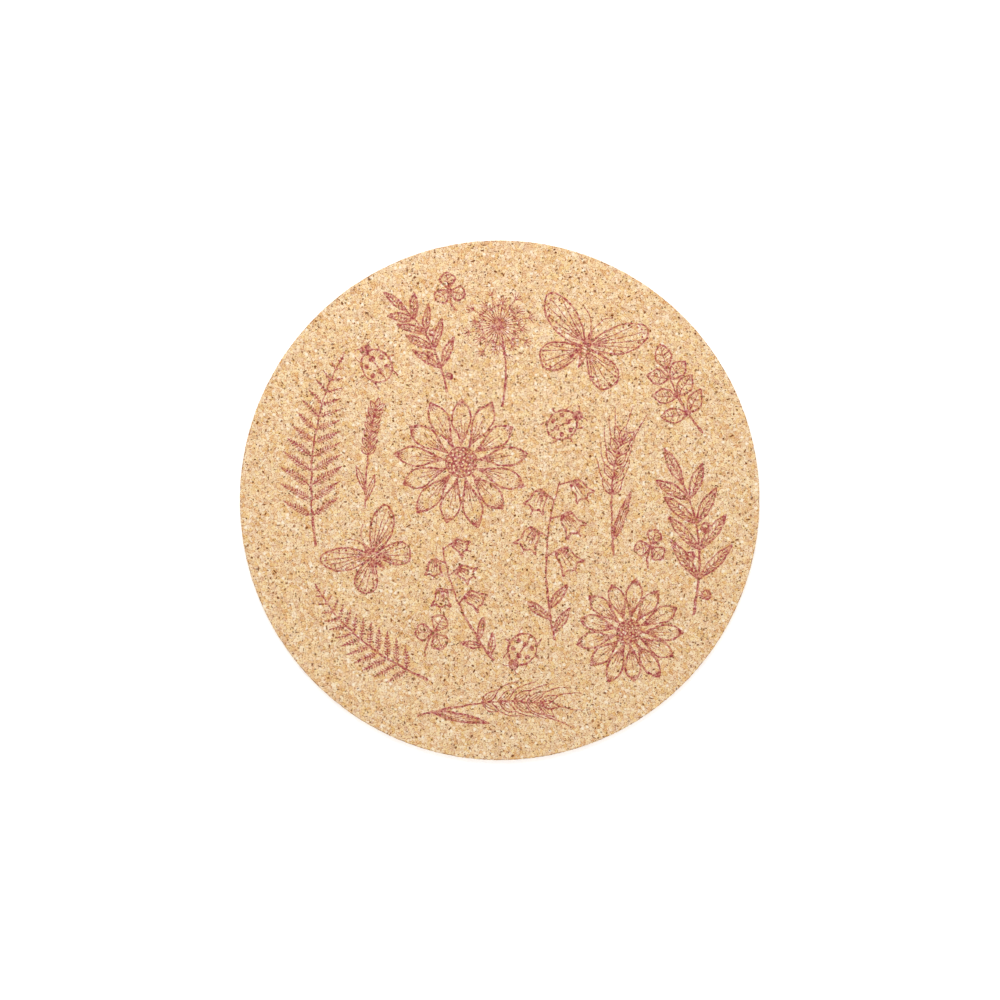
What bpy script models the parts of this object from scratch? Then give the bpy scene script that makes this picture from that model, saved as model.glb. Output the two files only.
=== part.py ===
"""Round cork placemat with a one-colour print, modelled piece by piece in metres, with +Z up.

The mat is a disc stamped from agglomerated cork sheet. Its print is a scatter of plants and small insects,
each one a thin film of ink that lies flat on the cork and touches no other film. The origin is the middle of
the underside.
"""

import math

import bmesh
import bpy
from mathutils import Vector, geometry

MM = 0.001

# Cork disc
DISC_DIAMETER = 300 * MM
DISC_THICKNESS = 4 * MM
EDGE_ROUND = 0.8 * MM
RIM_FACETS = 112
EDGE_STEPS = 2

# Print: the bare rim round it, its film of ink, and the widths of its lines
PRINT_MARGIN = 12 * MM
INK_THICKNESS = 0.05 * MM
LINE_WIDTH = 1.0 * MM
STEM_WIDTH = 1.5 * MM
HAIR_WIDTH = 0.7 * MM

PRINT_RADIUS = DISC_DIAMETER / 2 - PRINT_MARGIN
WELD = 0.0001 * MM

# Counts in the drawings
PETALS = 13
EYE_SPOKES = 7
FERN_PAIRS = 12
OLIVE_PAIRS = 4
GRAIN_PAIRS = 5
BELLS = 5
PUFF_RAYS = 16
ROUND_LEAF_PAIRS = 3
LAVENDER_PAIRS = 7
DOT_SIDES = 9
RING_SIDES = 15

CORK_COLOUR = (0.79, 0.53, 0.30, 1.0)
INK_COLOUR = (0.50, 0.16, 0.127, 1.0)

# Half outline of a hanging bell from its crown to the middle of its mouth: across, then down, in bell lengths
BELL_HALF = ((0.0, 0.0), (0.24, 0.06), (0.34, 0.3), (0.37, 0.65), (0.54, 1.0), (0.27, 0.9), (0.0, 1.05))

# Right wings of a butterfly, from the root round the margin and back, in wing spans
UPPER_WING = ((0.02, 0.03), (0.17, 0.25), (0.37, 0.36), (0.49, 0.33), (0.46, 0.18), (0.32, 0.05), (0.12, 0.0))
LOWER_WING = ((0.03, -0.03), (0.2, -0.03), (0.34, -0.09), (0.37, -0.21), (0.27, -0.31), (0.14, -0.25))
UPPER_VEINS = ((0.4, 0.345), (0.475, 0.25), (0.42, 0.12))
LOWER_VEINS = ((0.365, -0.16), (0.25, -0.305))


class Stem:
    """A stem drawn as a quadratic curve, with a place and a heading at every share of its length."""

    def __init__(self, size, foot, bend, tip):
        self.foot, self.bend, self.tip = (Vector(point) * size for point in (foot, bend, tip))

    def place(self, share):
        """Point at a share of the stem, from its foot to its tip."""
        rest = 1 - share
        return self.foot * rest**2 + self.bend * 2 * share * rest + self.tip * share**2

    def heading(self, share):
        """Direction of growth at a share of the stem, in degrees from +X."""
        way = (self.bend - self.foot) * (1 - share) + (self.tip - self.bend) * share
        return math.degrees(math.atan2(way.y, way.x))

    def drawn(self, width, tip_width, steps=8):
        """Quads of the stem's line, which tapers to its tip."""
        return line([self.place(i / steps) for i in range(steps + 1)], width, tip_width)


def polar(radius, degrees):
    """Point at a radius and an angle, counted from +X towards +Y."""
    angle = math.radians(degrees)
    return Vector((radius * math.cos(angle), radius * math.sin(angle)))


def spread(first, last, count):
    """Evenly spaced values from first to last."""
    return [first + (last - first) * i / (count - 1) for i in range(count)]


def line_sides(before, point, after, width):
    """The two edge points of a line where it passes a point."""
    way = after - before
    across = Vector((-way.y, way.x)).normalized() * width / 2
    return point + across, point - across


def quads(sides):
    """Quads between each pair of edge points and the next pair."""
    return [[a[0], a[1], b[1], b[0]] for a, b in zip(sides, sides[1:])]


def line(points, width, end_width=None):
    """Quads of an open line, which tapers if its end has a width of its own."""
    last = len(points) - 1
    change = 0 if end_width is None else (end_width - width) / last
    sides = [
        line_sides(points[max(i - 1, 0)], points[i], points[min(i + 1, last)], width + change * i)
        for i in range(last + 1)
    ]
    return quads(sides)


def loop(points, width):
    """Quads of a closed line."""
    count = len(points)
    sides = [line_sides(points[i - 1], points[i], points[(i + 1) % count], width) for i in range(count)]
    return quads(sides + sides[:1])


def circle(centre, radius, sides):
    """Corners of a round."""
    return [centre + polar(radius, 360 * i / sides) for i in range(sides)]


def dot(centre, radius):
    """A filled round."""
    return [circle(centre, radius, DOT_SIDES)]


def leaf(foot, tip, width, belly=1.0, steps=4):
    """Outline of a leaf. A belly over 1 moves its widest place towards the tip."""
    axis = tip - foot
    across = Vector((axis.y, -axis.x)).normalized() * width / 2
    shares = [0.5 - 0.5 * math.cos(math.pi * i / steps) for i in range(1, steps)]
    bulges = [(share, math.sin(math.pi * share**belly)) for share in shares]
    right = [foot + axis * share + across * bulge for share, bulge in bulges]
    left = [foot + axis * share - across * bulge for share, bulge in reversed(bulges)]
    return [foot, *right, tip, *left]


def veined_leaf(foot, tip, width, belly=1.0, vein=0.7):
    """A leaf in outline with a midrib."""
    return loop(leaf(foot, tip, width, belly), LINE_WIDTH) + line([foot, foot.lerp(tip, vein)], HAIR_WIDTH)


def rounded(points, steps=2):
    """Closed outline that passes smoothly through the points."""
    count = len(points)
    found = []
    for i in range(count):
        before, start, end, after = (points[(i + j) % count] for j in (-1, 0, 1, 2))
        for t in (j / steps for j in range(steps)):
            bend = (end - before) * t + (2 * before - 5 * start + 4 * end - after) * t**2
            found.append(start + 0.5 * (bend + (3 * (start - end) + after - before) * t**3))
    return found


def mirrored(points):
    """The points of the right side put on the left side."""
    return [Vector((-point.x, point.y)) for point in points]


def rosette(size):
    """An open bloom of narrow petals round a ringed eye."""
    ring, core, outer = 0.12 * size, 0.05 * size, 0.5 * size
    middle = Vector((0, 0))
    shapes = dot(middle, core) + loop(circle(middle, ring, RING_SIDES), LINE_WIDTH)
    for i in range(EYE_SPOKES):
        angle = 360 * i / EYE_SPOKES
        shapes += line([polar(core / 2, angle), polar(ring, angle)], HAIR_WIDTH)
    petal_width = 0.84 * 2 * math.pi * (0.38 * ring + 0.62 * outer) / PETALS
    for i in range(PETALS):
        angle = 360 * (i + 0.25) / PETALS
        foot = polar(ring, angle)
        tip = polar(outer * (1.0, 0.93)[i % 2], angle)
        shapes += veined_leaf(foot, tip, petal_width, belly=1.45, vein=0.55)
    return shapes


def fern(size):
    """A curved frond with pairs of narrow leaflets that shorten towards the tip."""
    stem = Stem(size, (0.06, -0.5), (-0.1, 0.05), (0.05, 0.45))
    shapes = stem.drawn(STEM_WIDTH, LINE_WIDTH)
    for share in spread(0.14, 0.95, FERN_PAIRS):
        reach = 0.23 * size * (1.08 - share) ** 0.8 * min(1, 0.55 + 1.5 * share)
        for side in (-1, 1):
            foot = stem.place(share)
            tip = foot + polar(reach, stem.heading(share) + 58 * side)
            shapes.append(leaf(foot, tip, 0.17 * reach + LINE_WIDTH / 2, belly=0.8, steps=3))
    shapes.append(leaf(stem.place(0.97), stem.tip + polar(0.05 * size, stem.heading(1)), 1.8 * LINE_WIDTH))
    return shapes


def olive(size):
    """A twig with pairs of lance-shaped leaves, one leaf at its end, and round fruit."""
    stem = Stem(size, (-0.04, -0.5), (0.1, -0.05), (-0.02, 0.26))
    shapes = stem.drawn(STEM_WIDTH, LINE_WIDTH)
    for share in spread(0.24, 0.86, OLIVE_PAIRS):
        for side in (-1, 1):
            foot = stem.place(share)
            tip = foot + polar((0.3 - 0.09 * share) * size, stem.heading(share) + 40 * side)
            shapes += veined_leaf(foot, tip, 0.062 * size)
    shapes += veined_leaf(stem.tip, stem.tip + polar(0.24 * size, stem.heading(1)), 0.06 * size)
    for side, share in ((-1, 0.13), (1, 0.39), (-1, 0.6)):
        foot = stem.place(share)
        fruit = foot + polar(0.052 * size, stem.heading(share) + 80 * side)
        shapes += line([foot, fruit], HAIR_WIDTH) + dot(fruit, 0.026 * size)
    return shapes


def wheat(size):
    """A ripe ear with bristles on its grains, and one long blade on its stalk."""
    stem = Stem(size, (0.03, -0.5), (-0.05, 0.0), (0.02, 0.26))
    shapes = stem.drawn(LINE_WIDTH, LINE_WIDTH)
    grain, girth, bristle = 0.12 * size, 0.05 * size, 0.15 * size
    for share in spread(0.46, 1.0, GRAIN_PAIRS):
        for side in (-1, 1):
            foot = stem.place(share)
            heading = stem.heading(share) + 34 * side
            tip = foot + polar(grain, heading)
            shapes.append(leaf(foot, tip, girth, belly=0.9))
            shapes += line([foot.lerp(tip, 0.8), tip + polar(bristle, heading - 18 * side)], HAIR_WIDTH)
    top = stem.tip + polar(grain, stem.heading(1))
    shapes.append(leaf(stem.tip, top, girth, belly=0.9))
    shapes += line([stem.tip.lerp(top, 0.8), top + polar(bristle, stem.heading(1))], HAIR_WIDTH)
    foot = stem.place(0.1)
    shapes += veined_leaf(foot, foot + polar(0.36 * size, stem.heading(0.1) - 24), 0.05 * size, belly=0.8)
    return shapes


def bell(crown, length, heading):
    """A hanging bell in outline, with a rib down its front."""
    down = polar(length, heading)
    across = Vector((-down.y, down.x))
    half = [crown + across * x + down * y for x, y in BELL_HALF]
    other = [crown - across * x + down * y for x, y in BELL_HALF[-2:0:-1]]
    return loop(half + other, LINE_WIDTH) + line([crown, crown + 0.7 * down], HAIR_WIDTH)


def bellflower(size):
    """A leaning stalk with bells on both sides and leaves at its foot."""
    stem = Stem(size, (-0.02, -0.5), (-0.1, 0.05), (0.08, 0.46))
    shapes = stem.drawn(STEM_WIDTH, LINE_WIDTH)
    for i, share in enumerate(spread(0.5, 0.98, BELLS)):
        side = (-1, 1)[i % 2]
        foot = stem.place(share)
        crown = foot + polar(0.09 * size, stem.heading(share) + 62 * side)
        shapes += line([foot, crown], HAIR_WIDTH)
        shapes += bell(crown, (0.17 - 0.05 * share) * size, -90 - 32 * side)
    for side, share in ((-1, 0.04), (1, 0.12), (-1, 0.18)):
        foot = stem.place(share)
        shapes += veined_leaf(foot, foot + polar(0.18 * size, stem.heading(share) + 44 * side), 0.05 * size)
    return shapes


def butterfly(size):
    """A butterfly with open wings, seen from above."""
    shapes = [leaf(Vector((0, -0.2)) * size, Vector((0, 0.15)) * size, 0.06 * size)]
    for margin, veins in ((UPPER_WING, UPPER_VEINS), (LOWER_WING, LOWER_VEINS)):
        outline = [Vector(point) * size for point in margin]
        for side in (outline, mirrored(outline[::-1])):
            shapes += loop(rounded(side), LINE_WIDTH)
        for end in veins:
            vein = [outline[0], Vector(end) * size]
            shapes += line(vein, HAIR_WIDTH) + line(mirrored(vein), HAIR_WIDTH)
    feeler = Stem(size, (0.0, 0.12), (0.03, 0.3), (0.13, 0.33))
    points = [feeler.place(share) for share in spread(0, 1, 5)]
    for side in (points, mirrored(points)):
        shapes += line(side, HAIR_WIDTH) + dot(side[-1], LINE_WIDTH)
    return shapes


def ladybird(size):
    """A spotted beetle seen from above, with its wing cases closed."""
    middle = Vector((0, -0.06)) * size

    def on_case(angle, share):
        """Point at an angle round the wing cases, at a share of the way out to their edge."""
        way = polar(share * size, angle)
        return middle + Vector((0.34 * way.x, 0.4 * way.y))

    edge = [on_case(360 * i / RING_SIDES, 1) for i in range(RING_SIDES)]
    shapes = loop(edge, LINE_WIDTH) + line([on_case(90, 1.05), on_case(270, 1)], HAIR_WIDTH)
    shapes += dot(on_case(90, 1.1), 0.13 * size) + dot(on_case(90, 0.45), 0.075 * size)
    shapes += dot(on_case(270, 0.35), 0.07 * size)
    for angle in (25, -30):
        for spot in (on_case(angle, 0.9), on_case(180 - angle, 0.9)):
            shapes += dot(spot, 0.065 * size)
    for angle in (35, 0, -40):
        leg = [on_case(angle, 0.95), on_case(angle, 1.45)]
        shapes += line(leg, HAIR_WIDTH) + line(mirrored(leg), HAIR_WIDTH)
    return shapes


def seed_puff(size):
    """A ripe seed head: rays that each carry a tuft of three hairs, on a bare stalk."""
    centre = Vector((0.02, 0.18)) * size
    stem = Stem(size, (-0.05, -0.5), (0.06, -0.2), (0.02, 0.18))
    shapes = stem.drawn(STEM_WIDTH, LINE_WIDTH) + dot(centre, 0.035 * size)
    for i in range(PUFF_RAYS):
        angle = 270 + 360 * (i + 0.5) / PUFF_RAYS
        end = centre + polar((0.25, 0.18)[i % 2] * size, angle)
        shapes += line([centre, end], HAIR_WIDTH)
        root = end - polar(HAIR_WIDTH, angle)
        for lean in (-42, 0, 42):
            shapes += line([root, end + polar(0.065 * size, angle + lean)], HAIR_WIDTH)
    return shapes


def round_leaf_twig(size):
    """A short twig with pairs of broad leaves and one at its end."""
    stem = Stem(size, (0.05, -0.5), (-0.06, -0.1), (0.0, 0.22))
    shapes = stem.drawn(STEM_WIDTH, LINE_WIDTH)
    for share in spread(0.3, 0.86, ROUND_LEAF_PAIRS):
        for side in (-1, 1):
            foot = stem.place(share)
            tip = foot + polar((0.3 - 0.08 * share) * size, stem.heading(share) + 60 * side)
            shapes += veined_leaf(foot, tip, 0.15 * size, belly=1.1)
    shapes += veined_leaf(stem.tip, stem.tip + polar(0.27 * size, stem.heading(1)), 0.16 * size, belly=1.1)
    return shapes


def lavender(size):
    """A slender stalk with pairs of buds up to its tip and narrow leaves at its foot."""
    stem = Stem(size, (0.02, -0.5), (-0.04, 0.0), (0.02, 0.4))
    shapes = stem.drawn(LINE_WIDTH, HAIR_WIDTH)
    for share in spread(0.5, 0.97, LAVENDER_PAIRS):
        for side in (-1, 1):
            foot = stem.place(share)
            shapes.append(leaf(foot, foot + polar(0.1 * size, stem.heading(share) + 40 * side), 0.04 * size))
    shapes.append(leaf(stem.place(0.97), stem.tip + polar(0.09 * size, stem.heading(1)), 0.04 * size))
    for side, share in ((-1, 0.06), (1, 0.14)):
        foot = stem.place(share)
        shapes.append(leaf(foot, foot + polar(0.26 * size, stem.heading(share) + 20 * side), 0.035 * size))
    return shapes


def clover(size):
    """A leaf of three broad leaflets on a bent stalk."""
    stem = Stem(size, (0.1, -0.5), (-0.06, -0.25), (0.0, 0.06))
    shapes = stem.drawn(LINE_WIDTH, LINE_WIDTH)
    for heading in (90, 212, 328):
        shapes += veined_leaf(stem.tip, stem.tip + polar(0.42 * size, heading), 0.38 * size, belly=1.5)
    return shapes


# Each film of ink: name, drawing, length and place in print radii from the middle, and turn in degrees
PRINTS = (
    ("print_rosette_large", rosette, 0.56, (-0.16, 0.16), 0),
    ("print_rosette_small", rosette, 0.45, (0.54, -0.55), 20),
    ("print_fern_large", fern, 0.82, (-0.76, 0.22), -8),
    ("print_fern_small", fern, 0.62, (-0.56, -0.58), 50),
    ("print_olive_large", olive, 0.72, (0.8, -0.12), 6),
    ("print_olive_small", olive, 0.5, (-0.32, 0.68), 28),
    ("print_wheat_large", wheat, 0.68, (-0.01, -0.85), -85),
    ("print_wheat_small", wheat, 0.62, (0.48, 0.08), -4),
    ("print_bellflower_large", bellflower, 0.69, (0.22, -0.24), 4),
    ("print_bellflower_small", bellflower, 0.54, (-0.15, -0.43), 30),
    ("print_butterfly_large", butterfly, 0.46, (0.36, 0.64), -20),
    ("print_butterfly_small", butterfly, 0.37, (-0.53, -0.23), 40),
    ("print_seed_puff", seed_puff, 0.5, (0.0, 0.64), 8),
    ("print_round_leaf_twig", round_leaf_twig, 0.42, (0.74, 0.46), 26),
    ("print_lavender_sprig", lavender, 0.47, (-0.545, 0.2), -6),
    ("print_clover_upper", clover, 0.17, (-0.21, 0.87), 10),
    ("print_clover_middle", clover, 0.17, (0.63, -0.2), -18),
    ("print_clover_lower", clover, 0.19, (-0.28, -0.56), -30),
    ("print_ladybird_upper", ladybird, 0.18, (-0.52, 0.57), 35),
    ("print_ladybird_middle", ladybird, 0.17, (0.27, 0.32), -60),
    ("print_ladybird_lower", ladybird, 0.17, (0.09, -0.63), 150),
)


def material(name, colour, roughness):
    """A plain surface finish."""
    made = bpy.data.materials.new(name)
    made.use_nodes = True
    shader = made.node_tree.nodes["Principled BSDF"]
    shader.inputs["Base Color"].default_value = colour
    shader.inputs["Roughness"].default_value = roughness
    shader.inputs["Metallic"].default_value = 0.0
    return made


def add_object(name, mesh, finish):
    """Links a mesh to the scene as a piece of its own."""
    piece = bpy.data.objects.new(name, mesh)
    mesh.materials.append(finish)
    bpy.context.scene.collection.objects.link(piece)
    return piece


def cork_disc(finish):
    """The stamped disc, with its top and bottom edges rounded by a bevel."""
    mesh = bpy.data.meshes.new("cork_disc")
    shape = bmesh.new()
    radius = DISC_DIAMETER / 2
    bmesh.ops.create_cone(
        shape, cap_ends=True, segments=RIM_FACETS, radius1=radius, radius2=radius, depth=DISC_THICKNESS
    )
    shape.to_mesh(mesh)
    shape.free()
    piece = add_object("cork_disc", mesh, finish)
    piece.location.z = DISC_THICKNESS / 2
    bevel = piece.modifiers.new("edge round", "BEVEL")
    bevel.width = EDGE_ROUND
    bevel.segments = EDGE_STEPS
    bevel.limit_method = "ANGLE"
    bevel.angle_limit = math.radians(60)
    mesh.shade_smooth()
    mesh.set_sharp_from_angle(angle=math.radians(40))
    return piece


def united(name, shapes):
    """Flat mesh that covers all the shapes, with what they share covered once."""
    points = [point for shape in shapes for point in shape]
    corners = iter(range(len(points)))
    faces = [[next(corners) for _ in shape] for shape in shapes]
    places, _, triangles, _, _, sources = geometry.delaunay_2d_cdt(points, [], faces, 0, WELD, True)
    flat = bmesh.new()
    vertices = [flat.verts.new((*place, 0)) for place in places]
    for triangle, source in zip(triangles, sources):
        if source:
            flat.faces.new([vertices[i] for i in triangle])
    bmesh.ops.delete(flat, geom=[vertex for vertex in vertices if not vertex.link_faces], context="VERTS")
    mesh = bpy.data.meshes.new(name)
    flat.to_mesh(mesh)
    flat.free()
    return mesh


def ink_film(name, drawing, length, place, turn, finish):
    """One motif of the print as a film of ink that lies on the top of the disc."""
    piece = add_object(name, united(name, drawing(length * PRINT_RADIUS)), finish)
    piece.location = (place[0] * PRINT_RADIUS, place[1] * PRINT_RADIUS, DISC_THICKNESS)
    piece.rotation_euler.z = math.radians(turn)
    film = piece.modifiers.new("ink thickness", "SOLIDIFY")
    film.thickness = INK_THICKNESS
    film.offset = 1
    return piece


def main():
    """Builds the disc and every film of the print."""
    for old in list(bpy.data.objects):
        bpy.data.objects.remove(old)
    cork_disc(material("pressed cork", CORK_COLOUR, 0.85))
    ink = material("screen ink", INK_COLOUR, 0.7)
    for name, drawing, length, place, turn in PRINTS:
        ink_film(name, drawing, length, place, turn, ink)


main()
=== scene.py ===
"""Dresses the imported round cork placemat: a pitted disc with a line print, on a pale floor in soft light."""

import logging
import math
import random
from abc import ABC, abstractmethod
from dataclasses import dataclass, field
from enum import Enum
from typing import Any, ClassVar, Optional

import bpy
from mathutils import Matrix, Vector, geometry, noise

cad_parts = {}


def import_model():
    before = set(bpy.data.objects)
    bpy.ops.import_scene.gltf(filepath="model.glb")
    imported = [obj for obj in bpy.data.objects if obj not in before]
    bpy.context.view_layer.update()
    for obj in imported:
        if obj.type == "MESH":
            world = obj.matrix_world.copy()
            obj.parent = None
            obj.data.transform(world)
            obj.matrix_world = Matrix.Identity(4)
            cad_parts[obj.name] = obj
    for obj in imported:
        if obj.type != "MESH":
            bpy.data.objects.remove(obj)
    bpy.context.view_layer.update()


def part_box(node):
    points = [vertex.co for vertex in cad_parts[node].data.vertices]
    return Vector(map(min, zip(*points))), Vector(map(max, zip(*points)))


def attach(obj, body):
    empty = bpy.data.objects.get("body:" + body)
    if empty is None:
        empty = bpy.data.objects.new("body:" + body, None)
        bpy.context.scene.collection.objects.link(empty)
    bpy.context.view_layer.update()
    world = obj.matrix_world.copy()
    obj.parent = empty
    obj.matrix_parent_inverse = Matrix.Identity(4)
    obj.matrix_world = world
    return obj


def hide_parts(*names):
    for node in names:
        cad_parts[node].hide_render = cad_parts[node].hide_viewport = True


MM = 0.001
BODY = "root"
# Corner attribute that darkens the cork towards the pore colour: the pores' own tone, with painted shade in
# pits and rim grooves
PIT_TONE_AND_SHADE = "pit"
COLOUR_MAP = "OFBake"
LOG = logging.getLogger("placemat")

# Numbers of a Mix node's two colour inputs, because it has several inputs of each name
BASE, OVER = 6, 7

Shape = list[Vector]
Span = tuple[float, float]
Node = bpy.types.Node
Tree = bpy.types.NodeTree


class Pen(Enum):
    """Line widths of the drawing."""

    STEM = 1.5 * MM
    OUTLINE = 1.1 * MM
    VEIN = 0.8 * MM
    HATCH = 0.62 * MM


class Slot(Enum):
    """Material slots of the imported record."""

    CORK = "cork"
    INK = "ink"


class Face(Enum):
    """The sanded faces: the way each one looks, and the middle and reach of its round on the colour map."""

    TOP = (1, 0.33, 0.324)
    UNDERSIDE = (-1, 0.75, 0.244)


def linear(hex_colour: str) -> tuple[float, float, float, float]:
    """Turns an sRGB hex colour to linear.

    Args:
        hex_colour: Six hex digits after a hash.

    Returns:
        Linear red, green and blue, with an alpha of 1.
    """
    shares = [int(hex_colour[i : i + 2], 16) / 255 for i in (1, 3, 5)]
    red, green, blue = (s / 12.92 if s <= 0.04045 else ((s + 0.055) / 1.055) ** 2.4 for s in shares)
    return red, green, blue, 1.0


def scale_of(size_mm: float) -> float:
    """Texture scale of a pattern with a real size in millimetres."""
    return 1 / (size_mm * MM)


def set_inputs(tree: Tree, node: Node, inputs: dict[Any, Any]) -> None:
    """Sets or links the inputs of a node.

    Args:
        tree: The node's tree.
        node: Node that gets them.
        inputs: For each input's name or number, a value, an output, or a node for its first output in use.
    """
    for key, given in inputs.items():
        is_node = isinstance(given, Node)
        source = next(output for output in given.outputs if output.enabled) if is_node else given
        if isinstance(source, bpy.types.NodeSocket):
            tree.links.new(source, node.inputs[key])
        else:
            node.inputs[key].default_value = source


def add_node(tree: Tree, kind: str, inputs: dict[Any, Any], **settings: Any) -> Node:
    """Adds a shader node with its settings and links.

    Args:
        tree: Node tree that gets the node.
        kind: Blender's name for the type of node, without the words that start them all.
        inputs: A value or a source for each input that isn't left as it is.
        settings: Properties of the node.

    Returns:
        The new node.
    """
    node = tree.nodes.new("ShaderNode" + kind)
    for key, value in settings.items():
        setattr(node, key, value)
    set_inputs(tree, node, inputs)
    return node


def put_in_scene(data: bpy.types.ID) -> bpy.types.Object:
    """Puts a mesh, a lamp or a camera in the scene.

    Args:
        data: What is put there.

    Returns:
        An object with the same name.
    """
    made = bpy.data.objects.new(data.name, data)
    bpy.context.scene.collection.objects.link(made)
    return made


def polar(radius: float, degrees: float) -> Vector:
    """Point at a radius and an angle, counted from +X towards +Y."""
    angle = math.radians(degrees)
    return Vector((radius * math.cos(angle), radius * math.sin(angle)))


def spread(first: float, last: float, count: int) -> list[float]:
    """Evenly spaced values from first to last."""
    return [first + (last - first) * i / (count - 1) for i in range(count)]


def around(items: list[Any]) -> list[tuple[Any, Any]]:
    """Each item with the next one, and the last with the first."""
    return list(zip(items, items[1:] + items[:1]))


def margin_of(triangles: list[list[int]]) -> list[tuple[int, int]]:
    """Edges that only one of the triangles has, each in that triangle's own direction."""
    edges = {edge for triangle in triangles for edge in around(triangle)}
    return sorted(edge for edge in edges if edge[::-1] not in edges)


def signed_area(outline: Shape) -> float:
    """Area inside an outline, below zero where it runs clockwise."""
    return sum(a.x * b.y - b.x * a.y for a, b in around(outline)) / 2


def circle(centre: Vector, radius: float, sides: int) -> Shape:
    """Corners of a round."""
    return [centre + polar(radius, 360 * i / sides) for i in range(sides)]


def mirrored(points: Shape) -> Shape:
    """The points of the right side put on the left side."""
    return [Vector((-point.x, point.y)) for point in points]


def rounded(points: Shape, steps: int = 5) -> Shape:
    """Smooth closed outline through some points.

    Args:
        points: Places that the outline passes.
        steps: Short sides between one place and the next.

    Returns:
        Corners of the outline.
    """
    count = len(points)
    found = []
    for i in range(count):
        before, start, end, after = (points[(i + j) % count] for j in (-1, 0, 1, 2))
        for t in (j / steps for j in range(steps)):
            bend = (end - before) * t + (2 * before - 5 * start + 4 * end - after) * t**2
            found.append(start + 0.5 * (bend + (3 * (start - end) + after - before) * t**3))
    return found


@dataclass(frozen=True)
class MattFinish(ABC):
    """A matt finish: colour and relief come from its nodes, gloss from the shader's own sockets."""

    name: str
    roughness: float
    specular: float
    bump_strength: float
    bump_mm: float = 0.12

    @abstractmethod
    def surface(self, tree: Tree) -> tuple[Node, Node]:
        """Adds the nodes of the surface.

        Args:
            tree: The material's node tree.

        Returns:
            Nodes with the colour and the height.
        """

    def material(self) -> bpy.types.Material:
        """Makes the material.

        Returns:
            The material.
        """
        made = bpy.data.materials.new(self.name)
        made.use_nodes = True
        tree = made.node_tree
        colour, height = self.surface(tree)
        relief = {"Height": height, "Strength": self.bump_strength, "Distance": self.bump_mm * MM}
        sockets = {
            "Base Color": colour,
            "Normal": add_node(tree, "Bump", relief),
            "Roughness": self.roughness,
            "Specular IOR Level": self.specular,
        }
        set_inputs(tree, tree.nodes["Principled BSDF"], sockets)
        return made


@dataclass(frozen=True)
class OddGranule:
    """Granules of another colour: size, share of plain cells, reach in cells, and strength of the hue."""

    size_mm: float
    plain: float
    reach: float
    strength: float
    hue: str


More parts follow.
